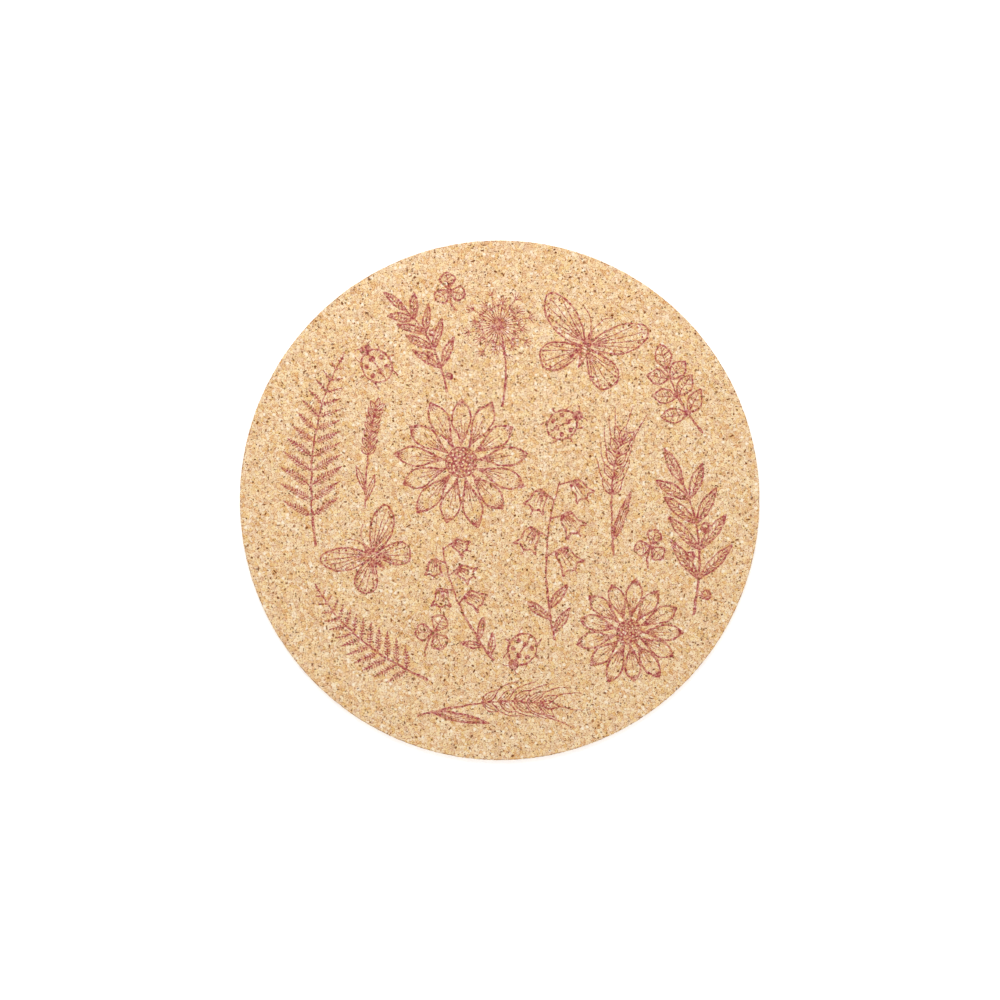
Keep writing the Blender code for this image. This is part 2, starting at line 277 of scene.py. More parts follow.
@dataclass(frozen=True)
class PressedCork(MattFinish):
    """Agglomerated cork, pressed with a binder, sliced and sanded.

    It gives the eye granules in every tan from cream to russet, dark crumbs of bark, open pores and no
    gloss.
    """

    name: str = "pressed_cork_sanded"
    roughness: float = 0.86
    specular: float = 0.05
    bump_strength: float = 0.35
    granule_mm: float = 1.8
    drift_mm: float = 1.1
    drift_length_mm: float = 0.8
    mottle_mm: float = 0.45
    patch_mm: float = 7.0
    granule_weight: float = 0.45
    mottle_weight: float = 2.1
    patch_weight: float = 0.2
    tone_start: float = -0.855
    mottle_height: float = 0.5
    tones: tuple[tuple[float, str], ...] = (
        (0.0, "#b57e53"),
        (0.2, "#dcae7d"),
        (0.4, "#edc897"),
        (0.6, "#f6d7a8"),
        (0.8, "#fce3b9"),
        (1.0, "#fff1d4"),
    )
    hues: Span = (0.49, 0.508)
    saturations: Span = (0.86, 1.16)
    seam: str = "#a4542a"
    seam_edges: Span = (0.02, 0.16)
    seam_strength: float = 0.8
    seam_breaks: Span = (0.45, 0.6)
    # Russet granules, cream granules and crumbs of bark
    odd_granules: tuple[OddGranule, ...] = (
        OddGranule(size_mm=3.0, plain=0.88, reach=0.45, strength=0.5, hue="#c9905f"),
        OddGranule(size_mm=2.7, plain=0.88, reach=0.45, strength=1.0, hue="#fff0d6"),
        OddGranule(size_mm=1.6, plain=0.85, reach=0.46, strength=0.9, hue="#6e3c1a"),
    )
    odd_core: float = 0.35
    # Brown that pits and rim grooves are mixed towards: the pores' darker lining, with painted shade in them
    pore: str = "#84430f"

    def surface(self, tree: Tree) -> tuple[Node, Node]:
        """Adds the granules, mixed towards the pore colour by the disc's own attribute: the pores' darker
        tone, with painted shade that deepens into pits and rim grooves.

        Args:
            tree: The material's node tree.

        Returns:
            Nodes with the colour and the height.
        """
        colour, height = self.grain(tree)
        # The pore colour comes in by the disc's attribute: the pores' tone with painted shade
        pit = add_node(tree, "Attribute", {}, attribute_name=PIT_TONE_AND_SHADE).outputs["Fac"]
        pitted_and_shaded = add_node(tree, "Mix", {0: pit, BASE: colour, OVER: linear(self.pore)}, data_type="RGBA")
        return pitted_and_shaded, height

    def grain(self, tree: Tree) -> tuple[Node, Node]:
        """Adds the sanded granules, with broken dark lines of binder between them.

        Args:
            tree: The material's node tree.

        Returns:
            Nodes with the colour and the height.
        """
        place = add_node(tree, "TexCoord", {}).outputs["Object"]
        drift, mottle, patch = (
            add_node(tree, "TexNoise", {"Vector": place, "Scale": scale_of(size), "Detail": detail})
            for size, detail in ((self.drift_length_mm, 1.0), (self.mottle_mm, 2.0), (self.patch_mm, 2.0))
        )
        shift = {0: drift.outputs["Color"], 1: (self.drift_mm * MM,) * 3, 2: place}
        bent = add_node(tree, "VectorMath", shift, operation="MULTIPLY_ADD")
        cells = {"Vector": bent, "Scale": scale_of(self.granule_mm)}
        colour = self.tan(tree, add_node(tree, "TexVoronoi", cells), mottle, patch)

        seams = add_node(tree, "TexVoronoi", cells, feature="DISTANCE_TO_EDGE")
        near, far = self.seam_edges
        fade = {"From Min": near, "From Max": far, "To Min": self.seam_strength, "To Max": 0.0}
        gap = add_node(tree, "MapRange", {"Value": seams, **fade})
        low, high = self.seam_breaks
        broken = add_node(tree, "MapRange", {"Value": drift, "From Min": low, "From Max": high})
        dashes = add_node(tree, "Math", {0: gap, 1: broken}, operation="MULTIPLY")
        colour = add_node(tree, "Mix", {0: dashes, BASE: colour, OVER: linear(self.seam)}, data_type="RGBA")

        for odd in self.odd_granules:
            spots = add_node(tree, "TexVoronoi", {"Vector": bent, "Scale": scale_of(odd.size_mm)})
            chance = add_node(tree, "SeparateColor", {"Color": spots.outputs["Color"]})
            chosen = add_node(tree, "Math", {0: chance, 1: odd.plain}, operation="GREATER_THAN")
            fade = {"From Min": odd.reach, "From Max": self.odd_core * odd.reach, "To Max": odd.strength}
            spot = add_node(tree, "MapRange", {"Value": spots, **fade})
            amount = add_node(tree, "Math", {0: spot, 1: chosen}, operation="MULTIPLY")
            mix = {0: amount, BASE: colour, OVER: linear(odd.hue)}
            colour = add_node(tree, "Mix", mix, data_type="RGBA")

        rise = {0: mottle, 1: self.mottle_height, 2: seams}
        return colour, add_node(tree, "Math", rise, operation="MULTIPLY_ADD")

    def tan(self, tree: Tree, granules: Node, mottle: Node, patch: Node) -> Node:
        """Gives each granule a tan of its own, mottled inside.

        Args:
            tree: The material's node tree.
            granules: Cells, one for each granule.
            mottle: Fine clouds inside the granules.
            patch: Wide clouds over many granules.

        Returns:
            Node with the colour.
        """
        pick = add_node(tree, "SeparateColor", {"Color": granules.outputs["Color"]})
        level = self.tone_start
        weights = ((patch, self.patch_weight), (mottle, self.mottle_weight), (pick, self.granule_weight))
        for source, weight in weights:
            level = add_node(tree, "Math", {0: source, 1: weight, 2: level}, operation="MULTIPLY_ADD")
        tone = add_node(tree, "ValToRGB", {"Fac": level})
        elements = tone.color_ramp.elements
        for share, hue in self.tones[1:-1]:
            elements.new(share).color = linear(hue)
        for end in (0, -1):
            elements[end].color = linear(self.tones[end][1])
        turn, depth = (
            add_node(tree, "MapRange", {"Value": pick.outputs[channel], "To Min": low, "To Max": high})
            for channel, (low, high) in (("Blue", self.hues), ("Green", self.saturations))
        )
        return add_node(tree, "HueSaturation", {"Hue": turn, "Saturation": depth, "Color": tone})


@dataclass(frozen=True)
class ScreenInk(MattFinish):
    """Dusty red water-based ink, screen printed on cork.

    It sinks in, so the eye sees the granules through it: darker where they are dark, paler where they are
    cream.
    """

    name: str = "water_based_ink_screen_printed"
    roughness: float = 0.75
    specular: float = 0.25
    bump_strength: float = 0.25
    cork: PressedCork = PressedCork()
    stain: str = "#d06284"
    body: str = "#822a38"
    cloud_mm: float = 1.1
    clouds: Span = (0.4, 0.64)
    soaked: Span = (0.44, 1.0)
    cover: Span = (0.0, 0.58)

    def surface(self, tree: Tree) -> tuple[Node, Node]:
        """Stains the cork and covers it a little, in clouds.

        Args:
            tree: The material's node tree.

        Returns:
            Nodes with the colour and the height.
        """
        colour, height = self.cork.grain(tree)
        place = add_node(tree, "TexCoord", {}).outputs["Object"]
        grid = {"Vector": place, "Scale": scale_of(self.cloud_mm), "Detail": 2.0}
        cloud = add_node(tree, "TexNoise", grid)
        low, high = self.clouds
        layers = ((self.stain, self.soaked, "MULTIPLY"), (self.body, self.cover, "MIX"))
        for hue, (thin, thick), blend in layers:
            fade = {"From Min": low, "From Max": high, "To Min": thin, "To Max": thick}
            amount = add_node(tree, "MapRange", {"Value": cloud, **fade})
            mix = {0: amount, BASE: colour, OVER: linear(hue)}
            colour = add_node(tree, "Mix", mix, data_type="RGBA", blend_type=blend)
        return colour, height


@dataclass(frozen=True)
class Pit:
    """An open pore in a sanded face: its outline, its depth, and how dark its floor is from 0 to 1, which is
    its own darker tone with painted shade.
    """

    middle: Vector
    outline: tuple[Vector, ...]
    depth: float
    shade: float


@dataclass
class PoreScatter:
    """Pores spread at random over a flat round face, none of them touching."""

    count: int
    seed: int
    size_mm: float = 0.39
    size_spread: float = 0.58
    size_limits_mm: Span = (0.2, 0.9)
    stretch_rate: float = 1.1
    stretch_limit: float = 2.2
    jag: Span = (0.78, 1.2)
    corner_shift: float = 0.25
    # Corners of a pore below the usual size, and of a larger one
    corners: tuple[int, int] = (5, 6)
    clear_mm: float = 0.12
    # Side of the squares in which neighbours are looked up
    square_mm: float = 3.6
    depth_mm: Span = (0.2, 0.6)
    depth_limit: float = 1.4
    # Darkness of a pore's floor, drawn for each pore: its own tone with painted shade
    tones_and_painted_shades: Span = (0.45, 0.95)

    def scatter(self, radius: float) -> list[Pit]:
        """Places the pores.

        Args:
            radius: Radius of the face, in metres.

        Returns:
            The pits.
        """
        draw = random.Random(self.seed)
        clear = self.clear_mm * MM
        cell = self.square_mm * MM
        taken: dict[tuple[int, int], list[tuple[Vector, float]]] = {}
        pits: list[Pit] = []
        while len(pits) < self.count:
            pit, reach = self.pore(draw, radius)
            column, row = int(pit.middle.x // cell), int(pit.middle.y // cell)
            cells = [(column + i, row + j) for i in (-1, 0, 1) for j in (-1, 0, 1)]
            near = [other for key in cells for other in taken.get(key, ())]
            outside = pit.middle.length + reach > radius - clear
            if outside or any((pit.middle - at).length < reach + far + clear for at, far in near):
                continue
            taken.setdefault((column, row), []).append((pit.middle, reach))
            pits.append(pit)
        return pits

    def pore(self, draw: random.Random, radius: float) -> tuple[Pit, float]:
        """Draws one pore.

        Args:
            draw: Source of random numbers.
            radius: Radius of the face.

        Returns:
            The pit, and how far it reaches from its middle.
        """
        low, high = self.size_limits_mm
        size = min(max(draw.lognormvariate(math.log(self.size_mm), self.size_spread), low), high) * MM
        stretch = 1 + min(draw.expovariate(self.stretch_rate), self.stretch_limit)
        turn = draw.uniform(0, 360)
        middle = polar(radius * math.sqrt(draw.random()), draw.uniform(0, 360))
        few, many = self.corners
        corners = few if size < self.size_mm * MM else many
        along, across = polar(size * math.sqrt(stretch), turn), polar(size / math.sqrt(stretch), turn + 90)
        outline = []
        for i in range(corners):
            jag, shift = draw.uniform(*self.jag), draw.uniform(-self.corner_shift, self.corner_shift)
            way = polar(jag, 360 * (i + shift) / corners)
            outline.append(middle + along * way.x + across * way.y)
        depth = min(draw.uniform(*self.depth_mm) * MM, self.depth_limit * size)
        pit = Pit(middle, tuple(outline), depth, draw.uniform(*self.tones_and_painted_shades))
        return pit, max((corner - middle).length for corner in outline)


@dataclass
class MeshDraft:
    """Vertices and faces of a mesh in the making, with a map place for each corner and a darkness: the pore
    tone with painted shade.
    """

    vertices: list[tuple[float, float, float]] = field(default_factory=list)
    faces: list[tuple[int, ...]] = field(default_factory=list)
    map_places: list[Span] = field(default_factory=list)
    tones_and_painted_shades: list[float] = field(default_factory=list)
    smooth: list[bool] = field(default_factory=list)

    def vertex(self, x: float, y: float, z: float) -> int:
        """Adds a vertex and returns its number."""
        self.vertices.append((x, y, z))
        return len(self.vertices) - 1

    def face(
        self,
        corners: list[int],
        map_places: list[Span],
        tones_and_painted_shades: Optional[list[float]] = None,
        smooth: bool = False,
    ) -> None:
        """Adds a face.

        Args:
            corners: Numbers of its vertices, counter-clockwise from outside.
            map_places: Place of each corner on the colour map.
            tones_and_painted_shades: Darkness of each corner in a pore or a rim groove: the pore tone with
                painted shade.
            smooth: Whether it is shaded smoothly.
        """
        self.faces.append(tuple(corners))
        self.map_places += map_places
        self.tones_and_painted_shades += tones_and_painted_shades or [0.0] * len(corners)
        self.smooth.append(smooth)

    def mesh(self, name: str) -> bpy.types.Mesh:
        """Makes the mesh.

        Args:
            name: Name of the mesh.

        Returns:
            The mesh.
        """
        made = bpy.data.meshes.new(name)
        made.from_pydata(self.vertices, [], self.faces)
        colour_map = made.uv_layers.new(name=COLOUR_MAP)
        colour_map.uv.foreach_set("vector", [value for place in self.map_places for value in place])
        made.attributes.new(PIT_TONE_AND_SHADE, "FLOAT", "CORNER").data.foreach_set("value", self.tones_and_painted_shades)
        made.polygons.foreach_set("use_smooth", self.smooth)
        made.update()
        return made


@dataclass
class CorkDisc:
    """The stamped disc: two sanded faces with open pores, and a bare cut rim with crumbled granules."""

    # Steps round and down to the corners of a rim face, counter-clockwise from outside
    QUAD = ((0, 0), (0, 1), (1, 1), (1, 0))
    # The rim lies in strips on the colour map: their number, start, length, spacing and width
    STRIPS = 6
    STRIP_START = (0.664, 0.015)
    STRIP_LENGTH = 0.326
    STRIP_SPACING = 0.024
    STRIP_WIDTH = 0.0125
    WELD = 1e-9

    radius: float
    thickness: float
    edge_round: float = 0.8 * MM
    rim_step: float = 0.7 * MM
    round_steps: int = 3
    side_steps: int = 4
    granule: float = 1.7 * MM
    groove_width: float = 0.22
    rough_length: float = 0.8
    relief: float = 0.4 * MM
    groove_share: float = 0.6
    rough_share: float = 0.5
    chips: int = 260
    chip_reach: float = 1.1 * MM
    chip_depth: float = 0.6 * MM
    chip_shares: Span = (0.3, 1.0)
    # Depths of wear in the rim where painted shade starts and where it is full, darkening grooves and chips
    painted_shade_from: float = 0.2 * MM
    painted_shade_to: float = 0.6 * MM
    pit_floor: float = 0.62
    # Share of a pore's darkness at its mouth: painted shade that grows towards the floor
    mouth_painted_shade: float = 0.6
    seed: int = 5
    top_pores: PoreScatter = field(default_factory=lambda: PoreScatter(count=3700, seed=21))
    low_pores: PoreScatter = field(default_factory=lambda: PoreScatter(count=2200, seed=34))
    top_pits: list[Pit] = field(default_factory=list)

    def build(self, finish: bpy.types.Material) -> bpy.types.Object:
        """Models and dresses the disc.

        Args:
            finish: The cork.

        Returns:
            The disc.
        """
        draft = MeshDraft()
        top_ring, low_ring = self.rim(draft)
        flat_radius = self.radius - self.edge_round
        self.top_pits = self.top_pores.scatter(flat_radius)
        self.flat(draft, top_ring, self.top_pits, Face.TOP)
        self.flat(draft, low_ring, self.low_pores.scatter(flat_radius), Face.UNDERSIDE)
        mesh = draft.mesh("cork_disc_sanded")
        mesh.materials.append(finish)
        return put_in_scene(mesh)

    def profile(self) -> list[Span]:
        """Section of the rim from the top face round to the underside.

        Returns:
            Inset from the radius, and height, of each row of vertices.
        """
        upper = []
        for i in range(self.round_steps + 1):
            angle = math.pi / 2 * i / self.round_steps
            drop = self.edge_round * (1 - math.cos(angle))
            upper.append((self.edge_round * (1 - math.sin(angle)), self.thickness - drop))
        side = spread(self.thickness - self.edge_round, self.edge_round, self.side_steps + 1)[1:-1]
        lower = [(inset, self.thickness - height) for inset, height in reversed(upper)]
        return upper + [(0.0, height) for height in side] + lower

    def rim(self, draft: MeshDraft) -> tuple[list[int], list[int]]:
        """Models the cut rim.

        Args:
            draft: The disc's mesh.

        Returns:
            Vertex numbers of the ring at the top face, and of the ring at the underside.
        """
        rows = self.profile()
        last = len(rows) - 1
        count = round(2 * math.pi * self.radius / self.rim_step / self.STRIPS) * self.STRIPS
        chips = self.chip_places()
        rings = []
        rim_painted_shade = {}
        for row, (inset, height) in enumerate(rows):
            ring = []
            for i in range(count):
                angle = 2 * math.pi * i / count
                way = Vector((math.cos(angle), math.sin(angle), 0))
                spot = way * self.radius + Vector((0, 0, height))
                worn = 0.0 if row in (0, last) else self.worn(spot, chips)
                place = way * (self.radius - inset - worn)
                ring.append(draft.vertex(place.x, place.y, height))
                # Painted shade in grooves and chips, darker where the rim is worn deeper
                rim_painted_shade[ring[-1]] = min(1.0, max(0.0, (worn - self.painted_shade_from) / (self.painted_shade_to - self.painted_shade_from)))
            rings.append(ring)
        for row in range(last):
            for i in range(count):
                corners = [rings[row + down][(i + step) % count] for step, down in self.QUAD]
                places = [self.strip_place(i, step, (row + down) / last, count) for step, down in self.QUAD]
                draft.face(corners, places, [rim_painted_shade[corner] for corner in corners], smooth=True)
        return rings[0], rings[-1]

    def strip_place(self, owner: int, step: int, down: float, count: int) -> Span:
        """Place of a rim corner on the colour map.

        Args:
            owner: Steps round the rim to the face that asks.
            step: Further steps to the corner.
            down: Share of the way from the top face to the underside.
            count: Steps in the whole rim.

        Returns:
            The place.
        """
        length = count // self.STRIPS
        strip = owner // length
        left, low = self.STRIP_START
        along = self.STRIP_LENGTH * (owner + step - strip * length) / length
        return left + along, low + self.STRIP_SPACING * strip + self.STRIP_WIDTH * (1 - down)

    def chip_places(self) -> list[tuple[Vector, float]]:
        """Places on the rim where a granule broke away.

        Returns:
            The middle of each chip and its share of the full depth.
        """
        draw = random.Random(self.seed)
        found = []
        for _ in range(self.chips):
            way = polar(self.radius, draw.uniform(0, 360))
            # Half of them are at the top edge, a quarter at the lower edge and a quarter anywhere
            height = draw.choice((self.thickness, self.thickness, 0.0, draw.uniform(0, self.thickness)))
            found.append((Vector((*way, height)), draw.uniform(*self.chip_shares)))
        return found

    def worn(self, spot: Vector, chips: list[tuple[Vector, float]]) -> float:
        """How far the rim lies inside its true round at a spot.

        Args:
            spot: Place on the true round.
            chips: Places where a granule broke away.

        Returns:
            The depth, in metres.
        """
        distances, _ = noise.voronoi(spot / self.granule)
        groove = max(0.0, 1 - (distances[1] - distances[0]) / self.groove_width)
        rough = 0.5 + 0.5 * noise.noise(spot / (self.rough_length * self.granule))
        depth = self.relief * (self.groove_share * groove + self.rough_share * rough)
        for middle, share in chips:
            away = (spot - middle).length / self.chip_reach
            if away < 1:
                depth += self.chip_depth * share * (1 - away**2)
        return depth

    def flat(self, draft: MeshDraft, ring: list[int], pits: list[Pit], face: Face) -> None:
        """Models a sanded face with its pits.

        Args:
            draft: The disc's mesh.
            ring: Vertices round the face.
            pits: Pores in the face.
            face: Which face it is.
        """
        height = draft.vertices[ring[0]][2]
        points = [Vector(draft.vertices[number][:2]) for number in ring]
        outlines = [list(range(len(ring)))]
        numbers = list(ring)
        for pit in pits:
            outlines.append(list(range(len(points), len(points) + len(pit.outline))))
            points += pit.outline
            numbers += [draft.vertex(*corner, height) for corner in pit.outline]
        cut = geometry.delaunay_2d_cdt(points, [], outlines, 0, self.WELD, True)
        _, _, triangles, origins, _, sources = cut
        number_of = [numbers[origin[0]] for origin in origins]
        for triangle, source in zip(triangles, sources):
            if source == [0]:
                self.add(draft, [number_of[i] for i in triangle], None, face)
        for pit, outline in zip(pits, outlines[1:]):
            mouth = [numbers[i] for i in outline]
            low = height - face.value[0] * pit.depth
            floor = [draft.vertex(*pit.middle.lerp(corner, self.pit_floor), low) for corner in pit.outline]
            for i in range(len(mouth)):
                # Painted shade with the pore's tone, lighter at the mouth and full on the floor
                tones_and_painted_shades = [self.mouth_painted_shade * pit.shade] * 2 + [pit.shade] * 2
                self.add(draft, [mouth[i - 1], mouth[i], floor[i], floor[i - 1]], tones_and_painted_shades, face)
            self.add(draft, floor, [pit.shade] * len(floor), face)

    def add(self, draft: MeshDraft, corners: list[int], tones_and_painted_shades: Optional[list[float]], face: Face) -> None:
        """Adds a part of a sanded face, laid flat on its own round of the colour map.

        Args:
            draft: The disc's mesh.
            corners: Vertices, counter-clockwise from above.
            tones_and_painted_shades: Darkness of each corner: the pore tone with painted shade.
            face: Which sanded face it is in.
        """
        up, middle, reach = face.value
        scale = reach / self.radius
        spots = [draft.vertices[number] for number in corners]
        places = [(middle + scale * x, middle + scale * y) for x, y, _ in spots]
        draft.face(corners[::up], places[::up], tones_and_painted_shades and tones_and_painted_shades[::up])


@dataclass(frozen=True)
class Stem:
    """A stem drawn as a quadratic curve, with a place and a heading at every share of its length."""

    foot: Vector
    bend: Vector
    tip: Vector

    @classmethod
    def sized(cls, size: float, *points: Span) -> "Stem":
        """Makes a stem from its foot, bend and tip, given in shares of a size."""
        return cls(*(Vector(point) * size for point in points))

    def place(self, share: float) -> Vector:
        """Point at a share of the stem, from its foot to its tip."""
        rest = 1 - share
        return self.foot * rest**2 + self.bend * 2 * share * rest + self.tip * share**2

    def heading(self, share: float) -> float:
        """Direction of growth at a share of the stem, in degrees from +X."""
        way = (self.bend - self.foot) * (1 - share) + (self.tip - self.bend) * share
        return math.degrees(math.atan2(way.y, way.x))

    def points(self, steps: int = 14) -> Shape:
        """Evenly spaced points from foot to tip."""
        return [self.place(share) for share in spread(0, 1, steps + 1)]

    def shoot(self, share: float, lean: float, length: float) -> tuple[Vector, Vector]:
        """Foot and tip of a shoot at a share of the stem, leaning some degrees from its heading."""
        foot = self.place(share)
        return foot, foot + polar(length, self.heading(share) + lean)


@dataclass(frozen=True)
class Blade:
    """A leaf or petal from its foot to its tip. A belly over 1 moves its widest place towards the tip."""

    foot: Vector
    tip: Vector
    width: float
    belly: float = 1.0

    def at(self, share: float, out: float) -> Vector:
        """Point of the blade.

        Args:
            share: Share of the way from the foot to the tip.
            out: Place across it, from -1 at the left margin to 1 at the right margin.

        Returns:
            The point.
        """
        axis = self.tip - self.foot
        across = Vector((axis.y, -axis.x)).normalized() * self.width / 2
        return self.foot + axis * share + across * out * math.sin(math.pi * share**self.belly)

    def line(self, out: float, first: float, last: float, count: int) -> Shape:
        """Points along the blade from one share of its length to another, at one place across it."""
        return [self.at(share, out) for share in spread(first, last, count)]

    def outline(self, steps: int = 10) -> Shape:
        """Outline with corners that are closer together at the foot and the tip.

        Args:
            steps: Short sides from the foot to the tip.

        Returns:
            The corners.
        """
        shares = [0.5 - 0.5 * math.cos(math.pi * i / steps) for i in range(1, steps)]
        right = [self.at(share, 1) for share in shares]
        return [self.foot, *right, self.tip, *(self.at(share, -1) for share in reversed(shares))]


@dataclass
class Sketch:
    """Inked shapes drawn flat in metres, with +Y from foot to tip."""

    STEP = 0.9 * MM
    PRESSURE = 0.5
    PRESSURE_LENGTH = 3.0 * MM
    HATCH_SPACING = 1.5 * MM
    HATCH_LEAN = 0.1
    # Reach of a leaf's midrib along it, and the stretch of it with hatching
    MIDRIB = 0.93
    HATCHED = (0.1, 0.8)
    # Hatching in turn: the place across the leaf where a line ends, and the share of the pen's width there.
    # A line below zero is a vein on the other half
    HATCHES = (((0.9, 0.7), (-0.75, 0.5)), ((0.62, 0.7),))

    shapes: list[Shape] = field(default_factory=list, init=False)
    bare: list[Shape] = field(default_factory=list, init=False)

    def fill(self, outline: Shape) -> None:
        """Fills an outline, turned counter-clockwise as the union of the shapes needs it."""
        self.shapes.append(outline if signed_area(outline) > 0 else outline[::-1])

    def dot(self, centre: Vector, radius: float, sides: int = 10) -> None:
        """Fills a round."""
        self.shapes.append(circle(centre, radius, sides))

    def twin_dots(self, centre: Vector, radius: float, sides: int = 10) -> None:
        """Fills a round on the right side and another on the left side."""
        for spot in (centre, *mirrored([centre])):
            self.dot(spot, radius, sides)

    def spare(self, centre: Vector, radius: float, sides: int = 7) -> None:
        """Leaves a round bare, whatever else is drawn there."""
        self.bare.append(circle(centre, radius, sides))

    def stroke(self, points: Shape, pen: Pen, start: float = 1.0, end: float = 1.0) -> None:
        """Draws an open line.

        Args:
            points: Places that the line passes.
            pen: Pen that draws it.
            start: Share of the pen's width at the first point.
            end: Share of the pen's width at the last point.
        """
        places = self.close_set(points)
        last = len(places) - 1
        sides = []
        for i, share in enumerate(spread(start, end, last + 1)):
            way = places[min(i + 1, last)] - places[max(i - 1, 0)]
            sides.append(self.sides(places[i], way, pen.value * share))
        self.ribbon(sides)

    def twin_strokes(self, points: Shape, pen: Pen, start: float = 1.0, end: float = 1.0) -> None:
        """Draws an open line on the right side and another on the left side."""
        for side in (points, mirrored(points)):
            self.stroke(side, pen, start, end)

    def ring(self, points: Shape, pen: Pen) -> None:
        """Draws a closed line.

        Args:
            points: Places that the line passes.
            pen: Pen that draws it.
        """
        places = self.close_set(points + points[:1])[:-1]
        ways = [after - before for before, after in zip(places[-1:] + places[:-1], places[1:] + places[:1])]
        sides = [self.sides(place, way, pen.value) for place, way in zip(places, ways)]
        self.ribbon(sides + sides[:1])

    def ribbon(self, sides: list[tuple[Vector, Vector]]) -> None:
        """Fills a strip with triangles, which can't cross themselves.

        Args:
            sides: Pairs of edge points along the strip.
        """
        for (left, right), (next_left, next_right) in zip(sides, sides[1:]):
            self.fill([left, right, next_right])
            self.fill([left, next_right, next_left])

    def close_set(self, points: Shape) -> Shape:
        """The same line with points close together, so that a hand's wander shows along it.

        Args:
            points: Places that the line passes.

        Returns:
            Those places and others between them.
        """
        found = [points[0]]
        for start, end in zip(points, points[1:]):
            count = math.ceil((end - start).length / self.STEP)
            found += [start.lerp(end, (i + 1) / count) for i in range(count)]
        return found

    def sides(self, point: Vector, way: Vector, width: float) -> tuple[Vector, Vector]:
        """The two edge points of a line, closer together or further apart by the pen's pressure.

        Args:
            point: Place on the line.
            way: Direction of the line.
            width: Width under an even pressure.

        Returns:
            The left and the right edge point.
        """
        pressed = width * (1 + self.PRESSURE * noise.noise(Vector((*point, 0)) / self.PRESSURE_LENGTH))
        across = Vector((-way.y, way.x)).normalized() * pressed / 2
        return point + across, point - across

    def leaf(self, blade: Blade, shaded: int) -> None:
        """Draws a leaf with its midrib, side veins, and hatching on one half.

        Args:
            blade: The leaf.
            shaded: Half with the hatching, -1 for the left and 1 for the right.
        """
        self.ring(blade.outline(), Pen.OUTLINE)
        self.stroke(blade.line(0, 0, self.MIDRIB, 6), Pen.VEIN, 1, 0.6)
        first, last = self.HATCHED
        count = max(3, round((blade.tip - blade.foot).length * (last - first) / self.HATCH_SPACING))
        for i, share in enumerate(spread(first, last, count)):
            for out, end in self.HATCHES[i % 2]:
                points = [blade.at(share + self.HATCH_LEAN * t, out * shaded * t) for t in (0, 0.5, 1)]
                self.stroke(points, Pen.HATCH, 1, end)


@dataclass
class Motif(Sketch, ABC):
    """One film of the print: its CAD node, its length and place in print radii, and its turn in degrees.

    It is its own sketch, drawn at a size in metres. Places and lengths in it are in shares of that size, or
    in metres where they hold MM, and angles are in degrees.
    """

    node: str
    length: float
    place: Span
    turn: float
    size: float = field(default=0.0, init=False)

    @abstractmethod
    def draw(self) -> None:
        """Draws the motif round the middle of its length."""


@dataclass
class Rosette(Motif):
    """An open bloom of narrow petals round a seeded eye."""

    # Veins from a petal's foot: the place of each across the petal, and its reach along it
    VEINS = ((0, 0.68), (-0.4, 0.52), (0.4, 0.52), (-0.75, 0.36), (0.75, 0.36))
    # Short lines at a petal's tip: the place of each across it, and where along it they start and end
    TIP_LINES = (-0.6, -0.2, 0.2, 0.6)
    TIP_START, TIP_END = 0.96, 0.83
    TIP_NARROWING = 0.9
    GOLDEN_ANGLE = 137.5

    petals: int = 13
    eye: float = 0.12
    outer: float = 0.5
    # Petals in shares: the reach of every second one, the room that each fills, and where it is widest
    short_petal: float = 0.93
    crowding: float = 0.84
    widest: float = 0.62
    belly: float = 1.45
    first_turn: float = 0.25
    # Seeds, with the spread of all and the radius of each in shares of the eye
    seeds: int = 40
    seed_spread: float = 0.92
    seed_radius: float = 0.07

    def draw(self) -> None:
        """Draws veined petals, and a dark eye with a spiral of pale seeds."""
        eye, outer = self.eye * self.size, self.outer * self.size
        wide = (1 - self.widest) * eye + self.widest * outer
        width = self.crowding * 2 * math.pi * wide / self.petals
        for i in range(self.petals):
            angle = 360 * (i + self.first_turn) / self.petals
            reach = outer * self.short_petal if i % 2 else outer
            petal = Blade(polar(eye, angle), polar(reach, angle), width, self.belly)
            self.ring(petal.outline(12), Pen.OUTLINE)
            for out, reach in self.VEINS:
                self.stroke(petal.line(out, 0.03, reach, 5), Pen.HATCH, 1.1, 0.5)
            for out in self.TIP_LINES:
                line = [petal.at(self.TIP_START, out), petal.at(self.TIP_END, self.TIP_NARROWING * out)]
                self.stroke(line, Pen.HATCH, 1, 0.6)
        self.dot(Vector((0, 0)), eye, 28)
        for i in range(self.seeds):
            out = self.seed_spread * eye * math.sqrt((i + 0.5) / self.seeds)
            self.spare(polar(out, self.GOLDEN_ANGLE * i), self.seed_radius * eye)


@dataclass
class Plant(Motif):
    """A motif that grows on one stem."""

    # Foot, bend and tip of the stem, and its pen with the share of the pen's width at foot and tip
    ROUTE: ClassVar[tuple[Span, ...]]
    LINE: ClassVar[tuple[Pen, float, float]] = (Pen.STEM, 1, 0.6)

    def draw(self) -> None:
        """Draws the stem and what grows on it."""
        stem = Stem.sized(self.size, *self.ROUTE)
        self.stroke(stem.points(), *self.LINE)
        self.grow(stem, self.size)

    @abstractmethod
    def grow(self, stem: Stem, size: float) -> None:
        """Draws what grows on a stem, at the size of the motif."""


